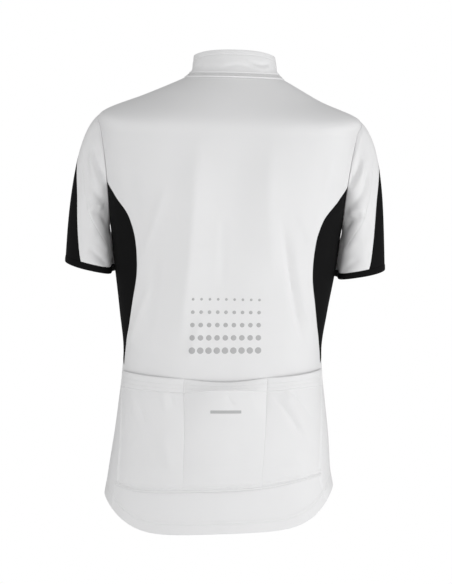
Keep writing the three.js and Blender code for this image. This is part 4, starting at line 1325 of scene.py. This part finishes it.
def zipTeeth():
    # The two halves' coils lie between each other along the centre front.
    low = 700
    pitch = zipSize["tooth"]
    starts, ends, outs = [], [], []
    path = np.linspace(-0.76 * collarSize["height"], low, 900)
    for side in (-1, 1):
        near, nearOuts = zipFront(-0.5 * side, path), normalOf(zipFront, 0 * path, path, (-0.5, 1), 1)
        far = zipFront(2.3 * side, path)
        run = runLengths(near[None], 1)[0]
        at = np.arange(0.8 + (side > 0) * pitch / 2, run[-1] - 0.5, pitch)
        for values, found in ((near, starts), (far, ends), (nearOuts, outs)):
            found.append(np.stack([np.interp(at, run, values[:, axis]) for axis in range(3)], axis=-1))
    starts, ends, outs = np.concatenate(starts), np.concatenate(ends), np.concatenate(outs)
    piece = capsulePiece("zip_coil", starts + outs * 0.25, ends + outs * 0.1, outs, 0.5, 0.35)
    dress(piece, coilPlastic)


zipTeeth()
for name in ("zip_slider", "zip_pull"):
    nodes[name].data.materials.clear()
    nodes[name].data.materials.append(zipMetal)
print("zip and stitches made")


# Prints

printSize = {
    "rows": 5, "columns": 9, "width": 110.0, "height": 85.0, "x": 4.5, "z": -420.5,
    "small": 2.2, "large": 5.4, "thick": 0.18,
    "dashX": -19.0, "dashZ": -564.0, "dashWidth": 50.0, "dashHeight": 5.0,
}


def backPlace(x, z):
    # Degrees and down of a place on the back, from the ring's own formula turned round.
    rows = np.linspace(300, 690, 400)
    down = np.interp(-z, readTable(trunk, "backDown", rows), rows)
    ratio = np.abs(x) / readTable(trunk, "half", down)
    return np.degrees(np.arcsin(ratio ** (readTable(trunk, "square", down) / 2))) * np.sign(x), down


def dotPiece(name, centres, radii, stretch=1.0):
    # Flat round films on the cloth: a ring of points on the surface round every centre.
    sides = 24
    angle = np.linspace(0, 2 * np.pi, sides, endpoint=False)
    scale = np.array([0.0, 0.5, 0.94, 1.0])
    x = centres[:, 0, None, None] + radii[:, None, None] * scale[None, :, None] * np.cos(angle) * stretch
    z = centres[:, 1, None, None] + radii[:, None, None] * scale[None, :, None] * np.sin(angle)
    degrees, down = backPlace(x, z)
    points = trunkSurface(degrees, down)
    outward = normalOf(trunkSurface, degrees, down, (0.4, 0.5), 1)
    height = np.array([1, 1, 1, 0.0])[None, :, None, None] * printSize["thick"] + 0.02
    points = points + outward * height
    rings = len(scale)
    count = len(centres)
    base = (np.arange(count) * rings * sides)[:, None, None]
    i, k = np.meshgrid(np.arange(rings - 1), np.arange(sides), indexing="ij")
    nextK = (k + 1) % sides
    inner, outer = i * sides, (i + 1) * sides
    quads = np.stack([inner + k, outer + k, outer + nextK, inner + nextK], axis=-1)
    faces = (base + quads.reshape(1, -1, 4)).reshape(-1, 4)
    return newPiece(name, points.reshape(-1, 3), faces, np.zeros((len(faces), 4, 2)), 60)


grid = np.stack(np.meshgrid(
    np.linspace(-0.5, 0.5, printSize["columns"]) * printSize["width"] + printSize["x"],
    printSize["z"] + np.linspace(0.5, -0.5, printSize["rows"]) * printSize["height"]), axis=-1)
sizes = np.linspace(printSize["small"], printSize["large"], printSize["rows"])[:, None] + 0 * grid[..., 0]
dots = dotPiece("print_dots", grid.reshape(-1, 2), sizes.ravel())
dress(dots, greyPrint)


def dashPiece():
    # A strip of the patch's own surface between two sides and two heights, a film thicker.
    half = printSize["dashWidth"] / 2
    columns = np.flatnonzero(np.abs(pocketOuter[-1, :, 0] - printSize["dashX"]) < half)
    heights = printSize["dashZ"] + np.linspace(0.5, -0.5, 5) * printSize["dashHeight"]
    strip = pocketOuter[::-1, columns]
    lines = [
        [np.interp(heights, strip[:, k, 2], strip[:, k, axis]) for axis in range(3)]
        for k in range(len(columns))
    ]
    points = np.moveaxis(np.array(lines), (0, 1, 2), (1, 2, 0))
    away = np.array([0.0, -1.0, 0.0])
    return wallPiece("print_dash", points + away * 0.3, points + away * 0.05, 1, False)


dress(dashPiece(), greyPrint)
print("prints made")


# Camera, light and floor

view = {"distance": 3200.0, "x": -14.0, "z": -365.5, "height": 1004.5}
camera = bpy.data.objects.new("camera", bpy.data.cameras.new("camera"))
bpy.context.scene.collection.objects.link(camera)
camera.location = (view["x"] * mm, -view["distance"] * mm, view["z"] * mm)
camera.rotation_euler = (math.pi / 2, 0, 0)
camera.data.sensor_fit = "VERTICAL"
camera.data.sensor_height = 24
camera.data.lens = 24 * view["distance"] / view["height"]
camera.data.clip_end = 100
bpy.context.scene.camera = camera


def softLight(name, place, target, size, power, colour=(1, 1, 1)):
    light = bpy.data.lights.new(name, "AREA")
    light.shape = "RECTANGLE"
    light.size, light.size_y = size
    light.energy = power
    light.color = colour
    lamp = bpy.data.objects.new(name, light)
    bpy.context.scene.collection.objects.link(lamp)
    lamp.location = place
    direction = np.array(target, float) - np.array(place, float)
    yaw = math.atan2(direction[1], direction[0]) - math.pi / 2
    pitch = math.atan2(direction[2], math.hypot(direction[0], direction[1]))
    lamp.rotation_euler = (math.pi / 2 + pitch, 0, yaw)
    lamp.visible_camera = False


softLight("front light", (0.3, -3.4, -0.6), (0, 0, -0.38), (2.2, 2.0), 29)
softLight("right light", (2.6, -1.2, -0.4), (0, 0, -0.4), (1.0, 2.0), 29)
softLight("left light", (-2.6, -1.4, -0.4), (0, 0, -0.4), (1.0, 2.0), 16)


def makeWorld():
    # White all round for the camera. As light it is dimmer, and a little brighter from above than from below.
    world = bpy.data.worlds.new("studio")
    bpy.context.scene.world = world
    world.use_nodes = True
    tree = world.node_tree
    tree.nodes.clear()
    seen = addNode(tree, "ShaderNodeBackground", Color=(1, 1, 1, 1), Strength=1.0)
    place = addNode(tree, "ShaderNodeTexCoord")
    parts = addNode(tree, "ShaderNodeSeparateXYZ", Vector=place.outputs["Generated"])
    falling = addNode(tree, "ShaderNodeMapRange", Value=parts.outputs["Z"])
    falling.inputs["From Min"].default_value = -0.1
    falling.inputs["From Max"].default_value = 0.9
    falling.inputs["To Min"].default_value = 0.4
    falling.inputs["To Max"].default_value = 0.47
    lit = addNode(tree, "ShaderNodeBackground", Color=(1, 1, 1, 1), Strength=falling.outputs["Result"])
    path = addNode(tree, "ShaderNodeLightPath")
    seenDirectly = path.outputs["Is Camera Ray"]
    mix = addNode(tree, "ShaderNodeMixShader", _0=seenDirectly, _1=lit.outputs[0], _2=seen.outputs[0])
    output = addNode(tree, "ShaderNodeOutputWorld")
    tree.links.new(mix.outputs[0], output.inputs["Surface"])


def makeFloor():
    # A round pale floor below the hanging jersey.
    floorSize = {"radius": 2.7, "z": -1.35}
    angle = np.linspace(0, 2 * np.pi, 96, endpoint=False)
    radius, z = floorSize["radius"], floorSize["z"]
    points = np.stack([np.cos(angle) * radius, np.sin(angle) * radius, 0 * angle + z], axis=-1)
    mesh = bpy.data.meshes.new("floor")
    mesh.from_pydata(points.tolist(), [], [list(range(96))])
    floor = bpy.data.objects.new("floor", mesh)
    bpy.context.scene.collection.objects.link(floor)
    material, tree, shader = newTree("floor")
    shader.inputs["Base Color"].default_value = (0.85, 0.85, 0.85, 1)
    shader.inputs["Roughness"].default_value = 0.9
    floor.data.materials.append(material)


makeWorld()
makeFloor()
bpy.context.scene.view_settings.view_transform = "Standard"
print("camera, light and floor made")
